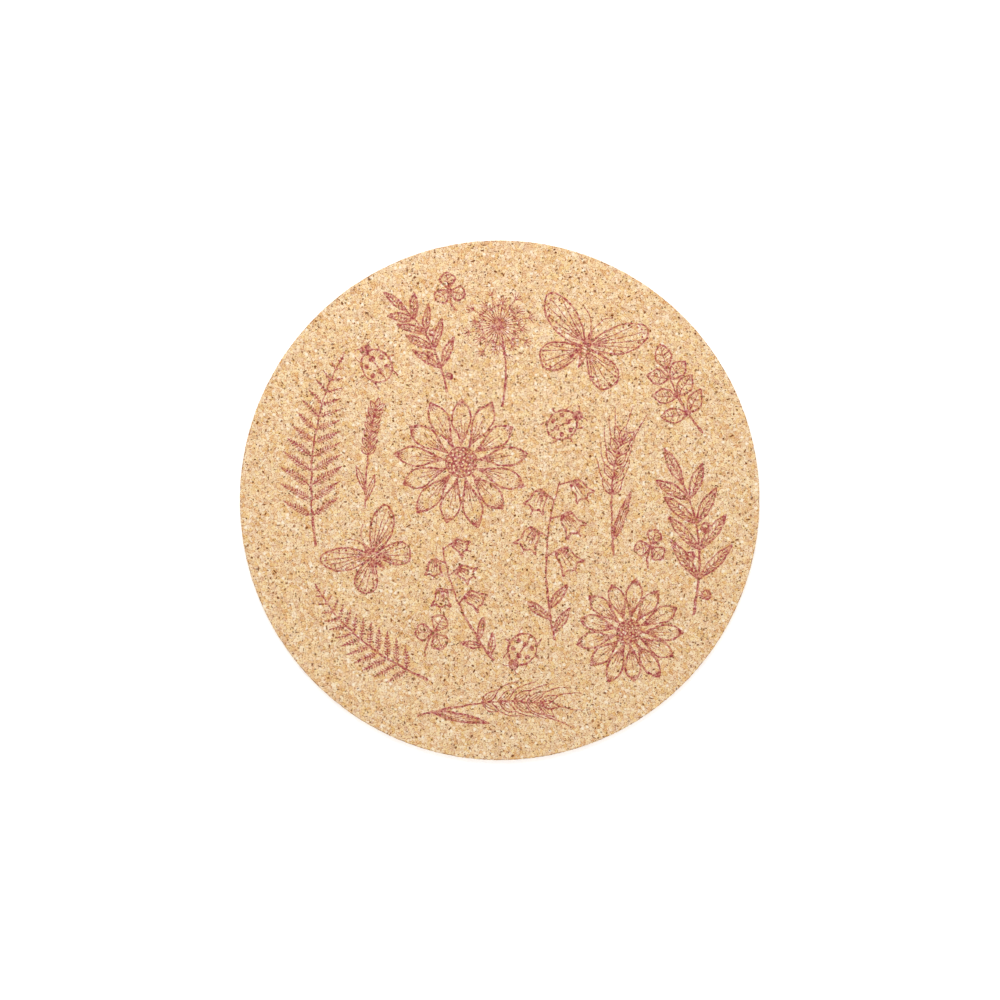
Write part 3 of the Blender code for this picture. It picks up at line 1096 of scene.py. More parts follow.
@dataclass
class FernFrond(Plant):
    """A curved frond with pairs of lobed leaflets that shorten towards the tip."""

    ROUTE = ((0.06, -0.5), (-0.1, 0.05), (0.05, 0.45))
    LINE = (Pen.STEM, 1, 0.5)
    # Stretch of the stem with pairs of leaflets, and stretch of a leaflet's rib with lobes
    LEAFY = (0.14, 0.95)
    LOBED = (0.16, 0.9)

    pairs: int = 12
    lean: float = 58
    longest: float = 0.23
    end_place: float = 0.97
    end_length: float = 0.08
    # Width of a leaflet: a share of its own length, and what is added to it
    slimness: float = 0.22
    least_width: float = 0.8 * MM
    # Shares of the rib by which a lobe starts before its place and ends after it
    lobe_before: float = 0.04
    lobe_after: float = 0.05
    lobe_spacing: float = 1.75 * MM
    lobe_width: float = 0.95 * MM

    def grow(self, stem: Stem, size: float) -> None:
        """Draws the leaflets.

        Args:
            stem: The stem.
            size: Length of the frond.
        """
        for share in spread(*self.LEAFY, self.pairs):
            # The leaflets shorten steadily towards the tip, and a little towards the foot
            reach = self.longest * size * (1.08 - share) ** 0.8 * min(1, 0.55 + 1.5 * share)
            for side in (-1, 1):
                self.leaflet(stem.place(share), reach, stem.heading(share) + self.lean * side)
        self.leaflet(stem.place(self.end_place), self.end_length * size, stem.heading(1))

    def leaflet(self, foot: Vector, reach: float, heading: float) -> None:
        """Draws one leaflet with a row of lobes on each side of its rib.

        Args:
            foot: Its place on the stem.
            reach: Its length.
            heading: Its direction in degrees.
        """
        width = self.slimness * reach + self.least_width
        blade = Blade(foot, foot + polar(reach, heading), width, belly=0.8)
        self.stroke([foot, blade.tip], Pen.VEIN, 1.1, 0.7)
        for share in spread(*self.LOBED, max(3, round(reach / self.lobe_spacing))):
            for side in (-1, 1):
                root = blade.at(share - self.lobe_before, 0)
                tip = blade.at(share + self.lobe_after, side)
                self.fill(Blade(root, tip, self.lobe_width, belly=1.2).outline(4))


@dataclass
class LeafyTwig(Plant):
    """A twig with pairs of broad leaves that shorten towards its tip, and one leaf at its end."""

    ROUTE = ((0.05, -0.5), (-0.06, -0.1), (0.0, 0.22))

    pairs: int = 3
    lowest: float = 0.3
    highest: float = 0.86
    lean: float = 60
    leaf_length: float = 0.3
    taper: float = 0.08
    leaf_width: float = 0.15
    end_length: float = 0.27
    end_width: float = 0.16
    belly: float = 1.1
    shaded: int = 1

    def grow(self, stem: Stem, size: float) -> None:
        """Draws the leaves.

        Args:
            stem: The stem.
            size: Length of the twig.
        """
        for share in spread(self.lowest, self.highest, self.pairs):
            for side in (-1, 1):
                shoot = stem.shoot(share, self.lean * side, (self.leaf_length - self.taper * share) * size)
                self.leaf(Blade(*shoot, self.leaf_width * size, self.belly), self.shaded * side)
        self.leaf(Blade(*stem.shoot(1, 0, self.end_length * size), self.end_width * size, self.belly), 1)


@dataclass
class OliveTwig(LeafyTwig):
    """A twig with lance-shaped leaves and round fruit."""

    ROUTE = ((-0.04, -0.5), (0.1, -0.05), (-0.02, 0.26))
    # Side of each fruit, and its place on the stem
    FRUIT = ((-1, 0.13), (1, 0.39), (-1, 0.6))

    pairs: int = 4
    lowest: float = 0.24
    lean: float = 40
    taper: float = 0.09
    leaf_width: float = 0.062
    end_length: float = 0.24
    end_width: float = 0.06
    belly: float = 1.0
    shaded: int = -1
    fruit_lean: float = 80
    fruit_stalk: float = 0.052
    fruit_radius: float = 0.026
    # Patch of light on a fruit: its direction, and its shift and radius in fruit radii
    light_angle: float = 120
    light_shift: float = 0.2
    light_radius: float = 0.42

    def grow(self, stem: Stem, size: float) -> None:
        """Draws the leaves and the fruit.

        Args:
            stem: The stem.
            size: Length of the twig.
        """
        super().grow(stem, size)
        for side, share in self.FRUIT:
            foot, middle = stem.shoot(share, self.fruit_lean * side, self.fruit_stalk * size)
            self.stroke([foot, middle], Pen.VEIN)
            self.fruit(middle, self.fruit_radius * size)

    def fruit(self, centre: Vector, radius: float) -> None:
        """Draws a round fruit that is dark but for a light patch on one side.

        Args:
            centre: Its middle.
            radius: Its radius.
        """
        self.ring(circle(centre, radius, 16), Pen.OUTLINE)
        # The dark part is open towards the light, from 70 to 170 degrees
        rim = [centre + polar(radius, angle) for angle in spread(-190, 70, 14)]
        lit = polar(self.light_shift * radius, self.light_angle)
        patch = [polar(self.light_radius * radius, angle) for angle in spread(80, -200, 12)]
        self.fill(rim + [centre + point + lit for point in patch])


@dataclass
class WheatEar(Plant):
    """A ripe ear with bristles on its grains, and one long blade on its stalk."""

    ROUTE = ((0.03, -0.5), (-0.05, 0.0), (0.02, 0.26))
    LINE = (Pen.OUTLINE, 1.2, 0.9)
    # Stretch of the stalk with grains
    EARED = (0.46, 1.0)
    # Lines inside a husk and inside the blade: the place of each across it, and its reach along it
    HUSK_LINES = ((-0.3, 0.6), (0.3, 0.75))
    BLADE_LINES = ((-0.5, 0.8), (0, 0.92), (0.5, 0.8))

    pairs: int = 5
    lean: float = 34
    grain_length: float = 0.12
    grain_width: float = 0.05
    # Bristle: its length and turn, and the length and the share of the turn up to its bend
    bristle: float = 0.15
    swing: float = 18
    bend_length: float = 0.08
    bend_share: float = 0.4
    blade_place: float = 0.1
    blade_lean: float = -24
    blade_length: float = 0.36
    blade_width: float = 0.05

    def grow(self, stem: Stem, size: float) -> None:
        """Draws the grains and the blade.

        Args:
            stem: The stalk.
            size: Length of the ear and its stalk.
        """
        for share in spread(*self.EARED, self.pairs):
            for side in (-1, 1):
                self.grain(stem.place(share), stem.heading(share) + self.lean * side, -self.swing * side)
        self.grain(stem.tip, stem.heading(1), 0)
        shoot = stem.shoot(self.blade_place, self.blade_lean, self.blade_length * size)
        blade = Blade(*shoot, self.blade_width * size, belly=0.8)
        self.ring(blade.outline(), Pen.OUTLINE)
        for out, reach in self.BLADE_LINES:
            self.stroke(blade.line(out, 0.03, reach, 7), Pen.HATCH, 1, 0.6)

    def grain(self, foot: Vector, heading: float, swing: float) -> None:
        """Draws one grain in its husk, with a bristle.

        Args:
            foot: Its place on the stalk.
            heading: Direction of the grain in degrees.
            swing: Turn of the bristle from the grain, in degrees.
        """
        size = self.size
        tip = foot + polar(self.grain_length * size, heading)
        husk = Blade(foot, tip, self.grain_width * size, belly=0.9)
        self.ring(husk.outline(8), Pen.VEIN)
        for out, reach in self.HUSK_LINES:
            self.stroke(husk.line(out, 0.06, reach, 4), Pen.HATCH, 1, 0.5)
        bend = tip + polar(self.bend_length * size, heading + self.bend_share * swing)
        bristle = Stem(tip, bend, tip + polar(self.bristle * size, heading + swing))
        self.stroke(bristle.points(5), Pen.VEIN, 1, 0.5)


@dataclass
class Bellflower(Plant):
    """A leaning stalk with hanging bells on both sides and leaves at its foot."""

    ROUTE = ((-0.02, -0.5), (-0.1, 0.05), (0.08, 0.46))
    LINE = (Pen.STEM, 1, 0.5)
    # Half outline of a bell from its crown to the middle of its mouth: across, then down, in bell lengths
    HALF = ((0.0, 0.0), (0.24, 0.06), (0.34, 0.3), (0.37, 0.65), (0.54, 1.0), (0.27, 0.9), (0.0, 1.05))
    # Ribs of a bell: the place of each across it, and its reach down
    RIBS = ((-0.55, 0.7), (0.0, 0.8), (0.3, 0.5), (0.55, 0.75), (0.8, 0.6))
    RIB_BULGE = 0.36
    # Sepals: the place of each tip across the bell, and how far they start above the crown and end below it
    SEPALS = (-0.3, 0.0, 0.3)
    SEPAL_ABOVE, SEPAL_BELOW = 0.04, 0.22
    SEPAL_WIDTH = 0.16
    # Stamen: the stretch that hangs out of the bell, and the place and radius of its anther
    STAMEN = (0.95, 1.22)
    ANTHER_PLACE, ANTHER_RADIUS = 1.24, 0.045
    # Stretch of the stalk with bells, and the side and place of each leaf on it
    BELLED = (0.5, 0.98)
    LEAVES = ((-1, 0.04), (1, 0.12), (-1, 0.18))

    bells: int = 5
    # Length of a bell at the stalk's foot, what it loses up to the tip, and its turn from hanging straight
    bell_length: float = 0.17
    bell_taper: float = 0.05
    bell_turn: float = 32
    shoot_lean: float = 62
    shoot_length: float = 0.09
    leaf_lean: float = 44
    leaf_length: float = 0.18
    leaf_width: float = 0.05

    def grow(self, stem: Stem, size: float) -> None:
        """Draws the bells and the leaves.

        Args:
            stem: The stalk.
            size: Length of the plant.
        """
        for i, share in enumerate(spread(*self.BELLED, self.bells)):
            side = (-1, 1)[i % 2]
            foot, crown = stem.shoot(share, self.shoot_lean * side, self.shoot_length * size)
            self.stroke([foot, crown], Pen.VEIN, 1.2, 1)
            length = (self.bell_length - self.bell_taper * share) * size
            self.bell(crown, polar(length, -90 - self.bell_turn * side))
        for side, share in self.LEAVES:
            shoot = stem.shoot(share, self.leaf_lean * side, self.leaf_length * size)
            self.leaf(Blade(*shoot, self.leaf_width * size), side)

    def bell(self, crown: Vector, down: Vector) -> None:
        """Draws a hanging bell with ribs, a cup of sepals at its crown and a stamen.

        Args:
            crown: Where it hangs from.
            down: Way from its crown to its mouth.
        """
        across = Vector((-down.y, down.x))
        half = [crown + across * x + down * y for x, y in self.HALF]
        other = [crown - across * x + down * y for x, y in self.HALF[-2:0:-1]]
        self.ring(rounded(half + other, 4), Pen.OUTLINE)
        for bulge, reach in self.RIBS:
            drops = spread(0.02, reach, 6)
            rib = [crown + across * bulge * self.RIB_BULGE * math.sqrt(drop) + down * drop for drop in drops]
            self.stroke(rib, Pen.HATCH, 1.2, 0.6)
        for lean in self.SEPALS:
            foot, tip = crown - self.SEPAL_ABOVE * down, crown + self.SEPAL_BELOW * down + lean * across
            self.fill(Blade(foot, tip, self.SEPAL_WIDTH * down.length).outline(4))
        self.stroke([crown + drop * down for drop in self.STAMEN], Pen.HATCH)
        self.dot(crown + self.ANTHER_PLACE * down, self.ANTHER_RADIUS * down.length, 7)


@dataclass
class Butterfly(Motif):
    """A butterfly with open wings, seen from above."""

    # Right wings from the root round the margin and back, and the ends of their veins
    UPPER = ((0.02, 0.03), (0.17, 0.25), (0.37, 0.36), (0.49, 0.33), (0.46, 0.18), (0.32, 0.05), (0.12, 0.0))
    LOWER = ((0.03, -0.03), (0.2, -0.03), (0.34, -0.09), (0.37, -0.21), (0.27, -0.31), (0.14, -0.25))
    UPPER_VEINS = ((0.36, 0.345), (0.455, 0.31), (0.475, 0.24), (0.44, 0.15), (0.34, 0.075))
    LOWER_VEINS = ((0.33, -0.1), (0.36, -0.17), (0.32, -0.26), (0.24, -0.3), (0.15, -0.25))
    # Right half of the thorax and head: along the body, then out from its middle
    HEAD = ((0.62, 1), (0.75, 1), (0.88, 1), (0.96, 0.8))
    FEELER = ((0.0, 0.12), (0.03, 0.3), (0.13, 0.33))
    # Ends of the body, and the stretch of it with rings
    TAIL = (0, -0.2)
    CROWN = (0, 0.15)
    RINGED = (0.12, 0.58)
    # Hairs of the tuft at a wing's root, counted from the one in the middle
    TUFT = (-2, -1, 0, 1, 2)

    rings: int = 7
    body_width: float = 0.064
    knob: float = 0.55 * MM
    # Bow of a vein, row of the dots and reach of the tuft, in shares of the way between the middle of a wing
    # and its root or margin
    vein_bow: float = 0.1
    dot_row: float = 0.8
    tuft_reach: float = 0.6
    tuft_spacing: float = 0.045
    # Share of the way out to a hair's tip where its line starts
    tuft_start: float = 0.35
    dot_radius: float = 0.011
    # No dot lies closer to the root of its wing
    bare_root: float = 0.16

    def draw(self) -> None:
        """Draws the wings, the ringed body and the feelers."""
        size = self.size
        for margin, veins in ((self.UPPER, self.UPPER_VEINS), (self.LOWER, self.LOWER_VEINS)):
            outline = rounded([Vector(point) * size for point in margin])
            self.wings(outline, [Vector(end) * size for end in veins])
        tail, crown = (Vector(end) * size for end in (self.TAIL, self.CROWN))
        body = Blade(tail, crown, self.body_width * size, belly=1.1)
        self.ring(body.outline(), Pen.OUTLINE)
        for share in spread(*self.RINGED, self.rings):
            self.stroke([body.at(share, -1), body.at(share, 1)], Pen.VEIN)
        right, left = ([body.at(share, side * out) for share, out in self.HEAD] for side in (1, -1))
        self.fill(left[:1] + right + left[:0:-1])
        feeler = Stem.sized(size, *self.FEELER).points(8)
        self.twin_strokes(feeler, Pen.HATCH, 0.9, 0.9)
        self.twin_dots(feeler[-1], self.knob)

    def wings(self, outline: Shape, vein_ends: Shape) -> None:
        """Draws a wing on each side, with veins, a row of dots inside its margin and a tuft at its root.

        Args:
            outline: Outline of the right wing, from its root.
            vein_ends: Where its veins end.
        """
        root = outline[0]
        middle = sum(outline, Vector((0, 0))) / len(outline)
        for half in (outline, mirrored(outline[::-1])):
            self.ring(half, Pen.OUTLINE)
        for end in vein_ends:
            vein = Stem(root, root.lerp(end, 0.5) + self.vein_bow * (middle - root), end)
            self.twin_strokes(vein.points(6), Pen.HATCH, 1.0, 0.8)
        row = [middle + (point - middle) * self.dot_row for point in outline]
        far = [point for point in row if (point - root).length > self.bare_root * self.size]
        for point in far[::2]:
            self.twin_dots(point, self.dot_radius * self.size, 7)
        for i in self.TUFT:
            hair = root + (middle - root) * self.tuft_reach + polar(self.tuft_spacing * self.size * i, 90)
            self.twin_strokes([root.lerp(hair, self.tuft_start), hair], Pen.HATCH, 0.8, 0.4)


@dataclass
class SeedPuff(Plant):
    """A ripe seed head: rays that each carry a seed and a tuft of hairs, on a bare stalk."""

    ROUTE = ((-0.05, -0.5), (0.06, -0.2), (0.02, 0.18))
    # Lengths of the rays in turn, and the lean of each hair in a tuft
    REACHES = (0.25, 0.13, 0.19, 0.15)
    HAIRS = (-55, -28, 0, 28, 55)

    rays: int = 32
    heart: float = 0.035
    seed_stretch: Span = (0.045, 0.09)
    seed_width: float = 0.75 * MM
    hair: float = 0.06

    def grow(self, stem: Stem, size: float) -> None:
        """Draws the heart of the puff and its rays.

        Args:
            stem: The stalk.
            size: Length of the plant.
        """
        centre = stem.tip
        self.dot(centre, self.heart * size, 14)
        for i in range(self.rays):
            angle = 270 + 360 * (i + 0.5) / self.rays
            end = centre + polar(self.REACHES[i % len(self.REACHES)] * size, angle)
            self.stroke([centre, end], Pen.HATCH, 1, 0.8)
            foot, tip = (centre + polar(out * size, angle) for out in self.seed_stretch)
            self.fill(Blade(foot, tip, self.seed_width).outline(3))
            for lean in self.HAIRS:
                self.stroke([end, end + polar(self.hair * size, angle + lean)], Pen.HATCH, 0.9, 0.6)


@dataclass
class LavenderSprig(Plant):
    """A slender stalk with pairs of buds up to its tip and narrow leaves at its foot."""

    ROUTE = ((0.02, -0.5), (-0.04, 0.0), (0.02, 0.4))
    LINE = (Pen.OUTLINE, 1, 0.7)
    # Stretch of the stalk with pairs of buds
    BUDDED = (0.5, 0.97)
    # Place, lean and length of the bud at the tip and of each leaf
    END_BUD = (1.0, 0, 0.09)
    LEAVES = ((0.06, -20, 0.26), (0.14, 20, 0.26))

    pairs: int = 7
    bud_lean: float = 40
    bud_length: float = 0.1
    width: float = 0.043

    def grow(self, stem: Stem, size: float) -> None:
        """Draws the buds and the leaves.

        Args:
            stem: The stalk.
            size: Length of the sprig.
        """
        places = spread(*self.BUDDED, self.pairs)
        buds = [(place, self.bud_lean * side, self.bud_length) for place in places for side in (-1, 1)]
        for place, lean, length in (*buds, self.END_BUD, *self.LEAVES):
            blade = Blade(*stem.shoot(place, lean, length * size), self.width * size)
            self.ring(blade.outline(7), Pen.VEIN)
            self.stroke(blade.line(0, 0.05, 0.75, 3), Pen.HATCH, 1, 0.6)


@dataclass
class Clover(Plant):
    """A leaf of three broad leaflets on a bent stalk."""

    ROUTE = ((0.1, -0.5), (-0.06, -0.25), (0.0, 0.06))
    LINE = (Pen.OUTLINE, 1.2, 0.9)
    HEADINGS = (90, 212, 328)

    leaflet_length: float = 0.42
    leaflet_width: float = 0.38
    belly: float = 1.5

    def grow(self, stem: Stem, size: float) -> None:
        """Draws the leaflets.

        Args:
            stem: The stalk.
            size: Length of the leaf and its stalk.
        """
        for heading in self.HEADINGS:
            tip = stem.tip + polar(self.leaflet_length * size, heading)
            self.leaf(Blade(stem.tip, tip, self.leaflet_width * size, self.belly), 1)


@dataclass
class Ladybird(Motif):
    """A spotted beetle seen from above, with its wing cases closed."""

    # Angle of each right leg at the wing cases, and its turn on the way out
    LEGS = ((38, 14), (0, 0), (-42, -14))
    # Share of that turn, and share of the way out to the edge of the wing cases, at each joint of a leg
    LEG_JOINTS = ((0, 0.98), (0.5, 1.22), (1, 1.42))
    # Angles and shares of the way out along the right feeler
    FEELER = ((80, 1.32), (72, 1.5), (64, 1.58))
    # Angle, share of the way out and radius of the spots on the middle line, then of the right ones
    MIDDLE_SPOTS = ((90, 0.45, 0.075), (270, 0.35, 0.07))
    SIDE_SPOTS = ((25, 0.66, 0.062), (-30, 0.66, 0.062))
    # Angles of the short lines inside the right edge, and shares of the way out where they start and end
    EDGE_LINES = range(-60, 50, 12)
    EDGE_START, EDGE_END = 0.98, 0.86

    half_width: float = 0.34
    half_length: float = 0.4
    set_back: float = 0.06
    head_out: float = 1.1
    head_radius: float = 0.13

    def on_case(self, angle: float, share: float) -> Vector:
        """Point at an angle round the wing cases, at a share of the way out to their edge."""
        way = polar(share * self.size, angle)
        return Vector((self.half_width * way.x, self.half_length * way.y - self.set_back * self.size))

    def draw(self) -> None:
        """Draws the wing cases with their spots, the head, the legs and the feelers."""
        size, on_case = self.size, self.on_case
        self.ring([on_case(10 * i, 1) for i in range(36)], Pen.OUTLINE)
        self.stroke([on_case(90, 1.0), on_case(270, 1)], Pen.VEIN)
        self.dot(on_case(90, self.head_out), self.head_radius * size, 18)
        for angle, out, radius in self.MIDDLE_SPOTS:
            self.dot(on_case(angle, out), radius * size, 14)
        for angle, out, radius in self.SIDE_SPOTS:
            self.twin_dots(on_case(angle, out), radius * size, 12)
        for angle in self.EDGE_LINES:
            line = [on_case(angle, self.EDGE_START), on_case(angle, self.EDGE_END)]
            self.stroke(line, Pen.HATCH, 1, 0.6)
        for angle, turn in self.LEGS:
            leg = [on_case(angle + share * turn, out) for share, out in self.LEG_JOINTS]
            self.twin_strokes(leg, Pen.VEIN, 1.1, 0.7)
        self.twin_strokes([on_case(angle, out) for angle, out in self.FEELER], Pen.HATCH)


@dataclass
class LinePrint:
    """The print: a scatter of films of ink, broken wherever the cork has an open pore."""

    # Where the wander across is read, far from where the wander along is
    ELSEWHERE = Vector((31.7, 17.3, 5.1))
    # A shape that covers this many times its own area has leaked out of its outline
    LEAK = 1.5

    disc_radius: float
    height: float
    margin: float = 12 * MM
    ink_thickness: float = 0.05 * MM
    pore_reach: float = 2 * MM
    weld: float = 0.0001 * MM
    # Length and reach of a hand's slow and quick wander
    wander: tuple[Span, ...] = ((6 * MM, 0.6 * MM), (1.3 * MM, 0.2 * MM))
    map_edge: float = 0.01
    motifs: tuple[Motif, ...] = (
        Rosette("print_rosette_large", 0.56, (-0.16, 0.16), 0),
        Rosette("print_rosette_small", 0.45, (0.54, -0.55), 20),
        FernFrond("print_fern_large", 0.82, (-0.76, 0.22), -8),
        FernFrond("print_fern_small", 0.62, (-0.56, -0.58), 50),
        OliveTwig("print_olive_large", 0.72, (0.8, -0.12), 6),
        OliveTwig("print_olive_small", 0.5, (-0.32, 0.68), 28),
        WheatEar("print_wheat_large", 0.68, (-0.01, -0.85), -85),
        WheatEar("print_wheat_small", 0.62, (0.48, 0.08), -4),
        Bellflower("print_bellflower_large", 0.69, (0.22, -0.24), 4),
        Bellflower("print_bellflower_small", 0.54, (-0.15, -0.43), 30),
        Butterfly("print_butterfly_large", 0.46, (0.36, 0.64), -20),
        Butterfly("print_butterfly_small", 0.37, (-0.53, -0.23), 40),
        SeedPuff("print_seed_puff", 0.5, (0.0, 0.64), 8),
        LeafyTwig("print_round_leaf_twig", 0.42, (0.74, 0.46), 26),
        LavenderSprig("print_lavender_sprig", 0.47, (-0.545, 0.2), -6),
        Clover("print_clover_upper", 0.17, (-0.21, 0.87), 10),
        Clover("print_clover_middle", 0.17, (0.63, -0.2), -18),
        Clover("print_clover_lower", 0.19, (-0.28, -0.56), -30),
        Ladybird("print_ladybird_upper", 0.18, (-0.52, 0.57), 35),
        Ladybird("print_ladybird_middle", 0.17, (0.27, 0.32), -60),
        Ladybird("print_ladybird_lower", 0.17, (0.09, -0.63), 150),
    )

    def build(self, motif: Motif, pits: list[Pit], finish: bpy.types.Material) -> bpy.types.Object:
        """Models and dresses one film.

        Args:
            motif: What the film shows.
            pits: Pores in the top of the disc.
            finish: The ink.

        Returns:
            The film.
        """
        radius = self.disc_radius - self.margin
        motif.size = motif.length * radius
        motif.draw()
        turn = Matrix.Rotation(math.radians(motif.turn), 2)
        middle = Vector(motif.place) * radius
        shapes, bare = (
            [[self.by_hand(turn @ point + middle) for point in shape] for shape in drawn]
            for drawn in (motif.shapes, motif.bare)
        )
        reach = max((point - middle).length for shape in shapes for point in shape) + self.pore_reach
        holes = [list(pit.outline) for pit in pits if (pit.middle - middle).length < reach]
        mesh = self.film(motif.node.replace("print", "ink"), *self.united(shapes, bare + holes))
        mesh.materials.append(finish)
        return put_in_scene(mesh)

    def by_hand(self, point: Vector) -> Vector:
        """Moves a point a little, as an unsteady hand does. Neighbours move alike, so lines keep order.

        Args:
            point: Place in the true drawing.

        Returns:
            Place on the cork.
        """
        for length, reach in self.wander:
            spot = Vector((*point, 0)) / length
            point = point + reach * Vector((noise.noise(spot), noise.noise(spot + self.ELSEWHERE)))
        return point

    def united(self, shapes: list[Shape], holes: list[Shape]) -> tuple[Shape, list[list[int]]]:
        """Covers all the shapes once and leaves the holes out.

        Args:
            shapes: Inked shapes, which may overlap.
            holes: Outlines of bare places and pores.

        Returns:
            Points, and triangles between them.
        """
        points = [point for shape in shapes + holes for point in shape]
        corners = iter(range(len(points)))
        faces = [[next(corners) for _ in shape] for shape in shapes + holes]
        places, _, triangles, _, _, sources = geometry.delaunay_2d_cdt(points, [], faces, 0, self.weld, True)
        covered = [0.0] * len(faces)
        for triangle, source in zip(triangles, sources):
            for face in source:
                covered[face] += signed_area([places[i] for i in triangle])
        leaks = {i for i, shape in enumerate(shapes) if covered[i] > self.LEAK * signed_area(shape)}
        inked = []
        for triangle, source in zip(triangles, sources):
            kept = [face for face in source if face not in leaks]
            if kept and max(kept) < len(shapes):
                inked.append(list(triangle))
        return places, inked

    def film(self, name: str, places: Shape, triangles: list[list[int]]) -> bpy.types.Mesh:
        """Gives flat triangles the thickness of the ink.

        Args:
            name: Name of the mesh.
            places: Points of the flat film.
            triangles: Its triangles, counter-clockwise from above.

        Returns:
            The closed mesh.
        """
        spots, upper = self.thinned(places, triangles)
        count = len(spots)
        lower = [[corner + count for corner in reversed(triangle)] for triangle in upper]
        walls = [[a, a + count, b + count, b] for a, b in margin_of(upper)]
        top = self.height + self.ink_thickness
        vertices = [(*spot, height) for height in (top, self.height) for spot in spots]
        mesh = bpy.data.meshes.new(name)
        mesh.from_pydata(vertices, [], upper + lower + walls)
        self.lay_map(mesh)
        mesh.update()
        return mesh

    def thinned(self, places: Shape, triangles: list[list[int]]) -> tuple[Shape, list[list[int]]]:
        """Takes out the points inside a flat film, because only its margins need them.

        Args:
            places: Points of the flat film.
            triangles: Its triangles, counter-clockwise.

        Returns:
            Points that are left, and triangles between them.
        """
        margin = margin_of(triangles)
        used = sorted({corner for edge in margin for corner in edge})
        number = {old: new for new, old in enumerate(used)}
        rim = [(number[a], number[b]) for a, b in margin]
        points = [places[i] for i in used]
        spots, _, pieces, origins, _, _ = geometry.delaunay_2d_cdt(points, rim, [], 0, self.weld, True)
        moved = {old: new for new, olds in enumerate(origins) for old in olds}
        inside = self.flooded(pieces, {(moved[a], moved[b]) for a, b in rim})
        return spots, [list(pieces[i]) for i in sorted(inside)]

    @staticmethod
    def flooded(triangles: list[list[int]], rim: set[tuple[int, int]]) -> set[int]:
        """Finds the triangles on the left of a rim, from one to the next.

        Args:
            triangles: Triangles, counter-clockwise.
            rim: Edges that the search doesn't cross.

        Returns:
            Numbers of the triangles.
        """
        owner = {edge: i for i, triangle in enumerate(triangles) for edge in around(triangle)}
        inside = {owner[edge] for edge in rim if edge in owner}
        waiting = list(inside)
        while waiting:
            for a, b in around(triangles[waiting.pop()]):
                beyond = owner.get((b, a))
                if (a, b) not in rim and beyond is not None and beyond not in inside:
                    inside.add(beyond)
                    waiting.append(beyond)
        return inside

    def lay_map(self, mesh: bpy.types.Mesh) -> None:
        """Lays a film flat on its colour map, as seen from above.

        Args:
            mesh: The film.
        """
        low = [min(vertex.co[i] for vertex in mesh.vertices) for i in (0, 1)]
        span = max(max(vertex.co[i] for vertex in mesh.vertices) - low[i] for i in (0, 1))
        places = []
        for corner in mesh.loops:
            spot = mesh.vertices[corner.vertex_index].co
            places += [self.map_edge + (1 - 2 * self.map_edge) * (spot[i] - low[i]) / span for i in (0, 1)]
        mesh.uv_layers.new(name=COLOUR_MAP).uv.foreach_set("vector", places)


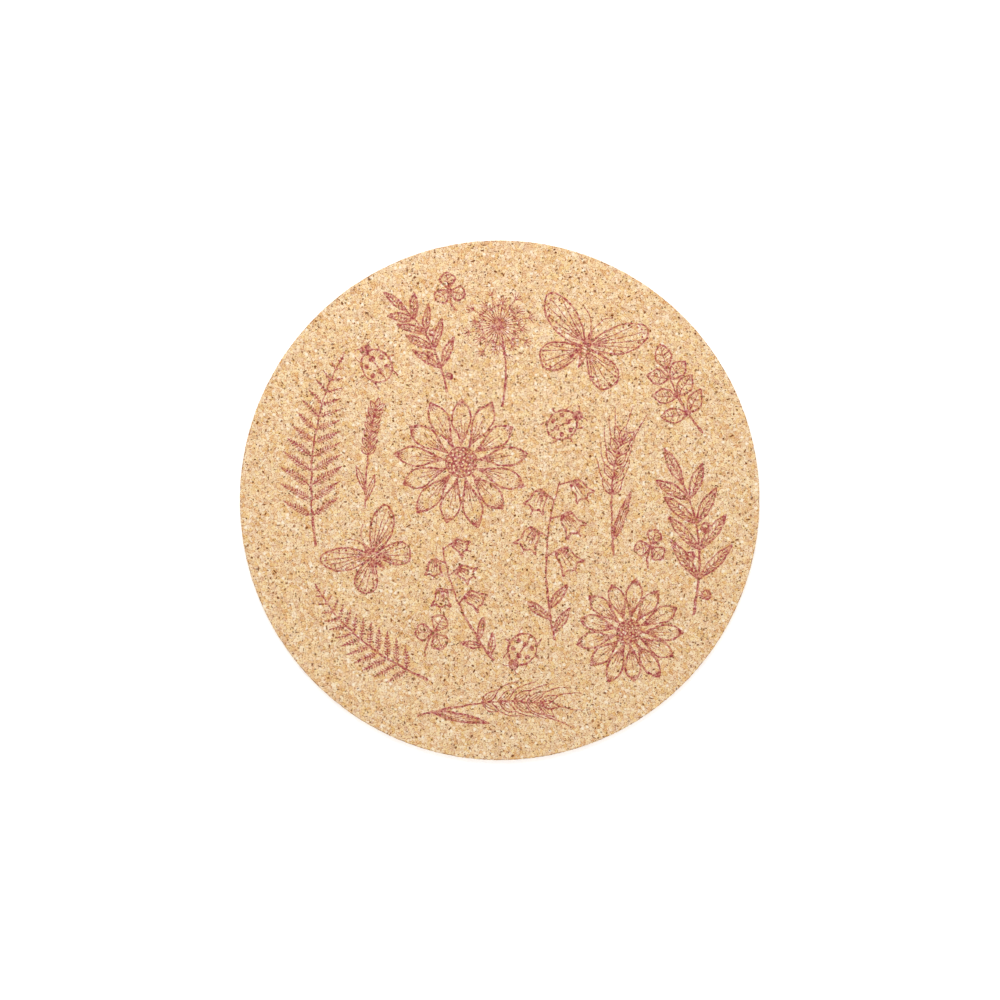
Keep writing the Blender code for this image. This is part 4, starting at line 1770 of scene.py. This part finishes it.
@dataclass
class Studio:
    """Pale floor, soft light and the camera, looking straight down as the photograph does."""

    view_width: float = 0.5764
    lens_mm: float = 85.0
    sensor_mm: float = 36.0
    aim: Span = (0.2 * MM, 0.17 * MM)
    floor_half: float = 4.0
    floor_drop: float = 0.05 * MM
    floor_colour: str = "#f4f4f4"
    floor_roughness: float = 0.9
    floor_glow: float = 0.35
    white: str = "#ffffff"
    room_strength: float = 0.753
    lamp_power: float = 3.59
    lamp_size: float = 0.6
    lamp_place: tuple[float, float, float] = (-0.08, 0.62, 0.72)

    def build(self, top: float) -> None:
        """Sets the stage round the object.

        Args:
            top: Height of the face that the camera frames.
        """
        self.floor()
        self.light()
        self.camera(top)
        bpy.context.scene.view_settings.view_transform = "Standard"

    def floor(self) -> None:
        """Lays a white paper floor, lit a little from below so that it stays white beside the rim."""
        half = self.floor_half
        corners = [(-half, -half, 0), (half, -half, 0), (half, half, 0), (-half, half, 0)]
        mesh = bpy.data.meshes.new("paper_floor")
        mesh.from_pydata(corners, [], [(0, 1, 2, 3)])
        paper = bpy.data.materials.new("matt_white_paper")
        paper.use_nodes = True
        sockets = {
            "Base Color": linear(self.floor_colour),
            "Roughness": self.floor_roughness,
            "Emission Color": linear(self.white),
            "Emission Strength": self.floor_glow,
        }
        set_inputs(paper.node_tree, paper.node_tree.nodes["Principled BSDF"], sockets)
        mesh.materials.append(paper)
        floor = put_in_scene(mesh)
        floor.location.z = -self.floor_drop

    def light(self) -> None:
        """Hangs a large soft box towards +Y in an even white room."""
        room = bpy.data.worlds.new("white_room")
        room.use_nodes = True
        sockets = {"Color": linear(self.white), "Strength": self.room_strength}
        set_inputs(room.node_tree, room.node_tree.nodes["Background"], sockets)
        bpy.context.scene.world = room
        lamp = bpy.data.lights.new("soft_box", "AREA")
        lamp.shape = "DISK"
        lamp.size = self.lamp_size
        lamp.energy = self.lamp_power
        box = put_in_scene(lamp)
        box.location = self.lamp_place
        box.visible_camera = False
        box.rotation_euler = (-box.location).to_track_quat("-Z", "Y").to_euler()

    def camera(self, top: float) -> None:
        """Puts the camera straight above the object.

        Args:
            top: Height of the face that the camera frames.
        """
        lens = bpy.data.cameras.new("camera")
        lens.lens = self.lens_mm
        lens.sensor_width = self.sensor_mm
        camera = put_in_scene(lens)
        camera.location = (*self.aim, top + self.view_width * self.lens_mm / self.sensor_mm)
        bpy.context.scene.camera = camera


def join_frame(piece: bpy.types.Object, node: str, slot: Slot) -> None:
    """Lets a piece stand for a CAD node, and reports it.

    Args:
        piece: The dressed piece.
        node: CAD node that it replaces.
        slot: Material slot of its finish; not used.
    """
    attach(piece, BODY)
    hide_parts(node)
    LOG.info("%s: %d faces", piece.name, len(piece.data.polygons))


def main() -> None:
    """Builds the disc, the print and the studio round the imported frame."""
    logging.basicConfig(level=logging.INFO, format="%(name)s: %(message)s")
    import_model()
    low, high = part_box("cork_disc")
    disc = CorkDisc(radius=(high[0] - low[0]) / 2, thickness=high[2] - low[2])
    join_frame(disc.build(PressedCork().material()), "cork_disc", Slot.CORK)
    ink = ScreenInk().material()
    line_print = LinePrint(disc_radius=disc.radius, height=high[2])
    for motif in line_print.motifs:
        join_frame(line_print.build(motif, disc.top_pits, ink), motif.node, Slot.INK)
    Studio().build(high[2])


if __name__ == "__main__":
    main()
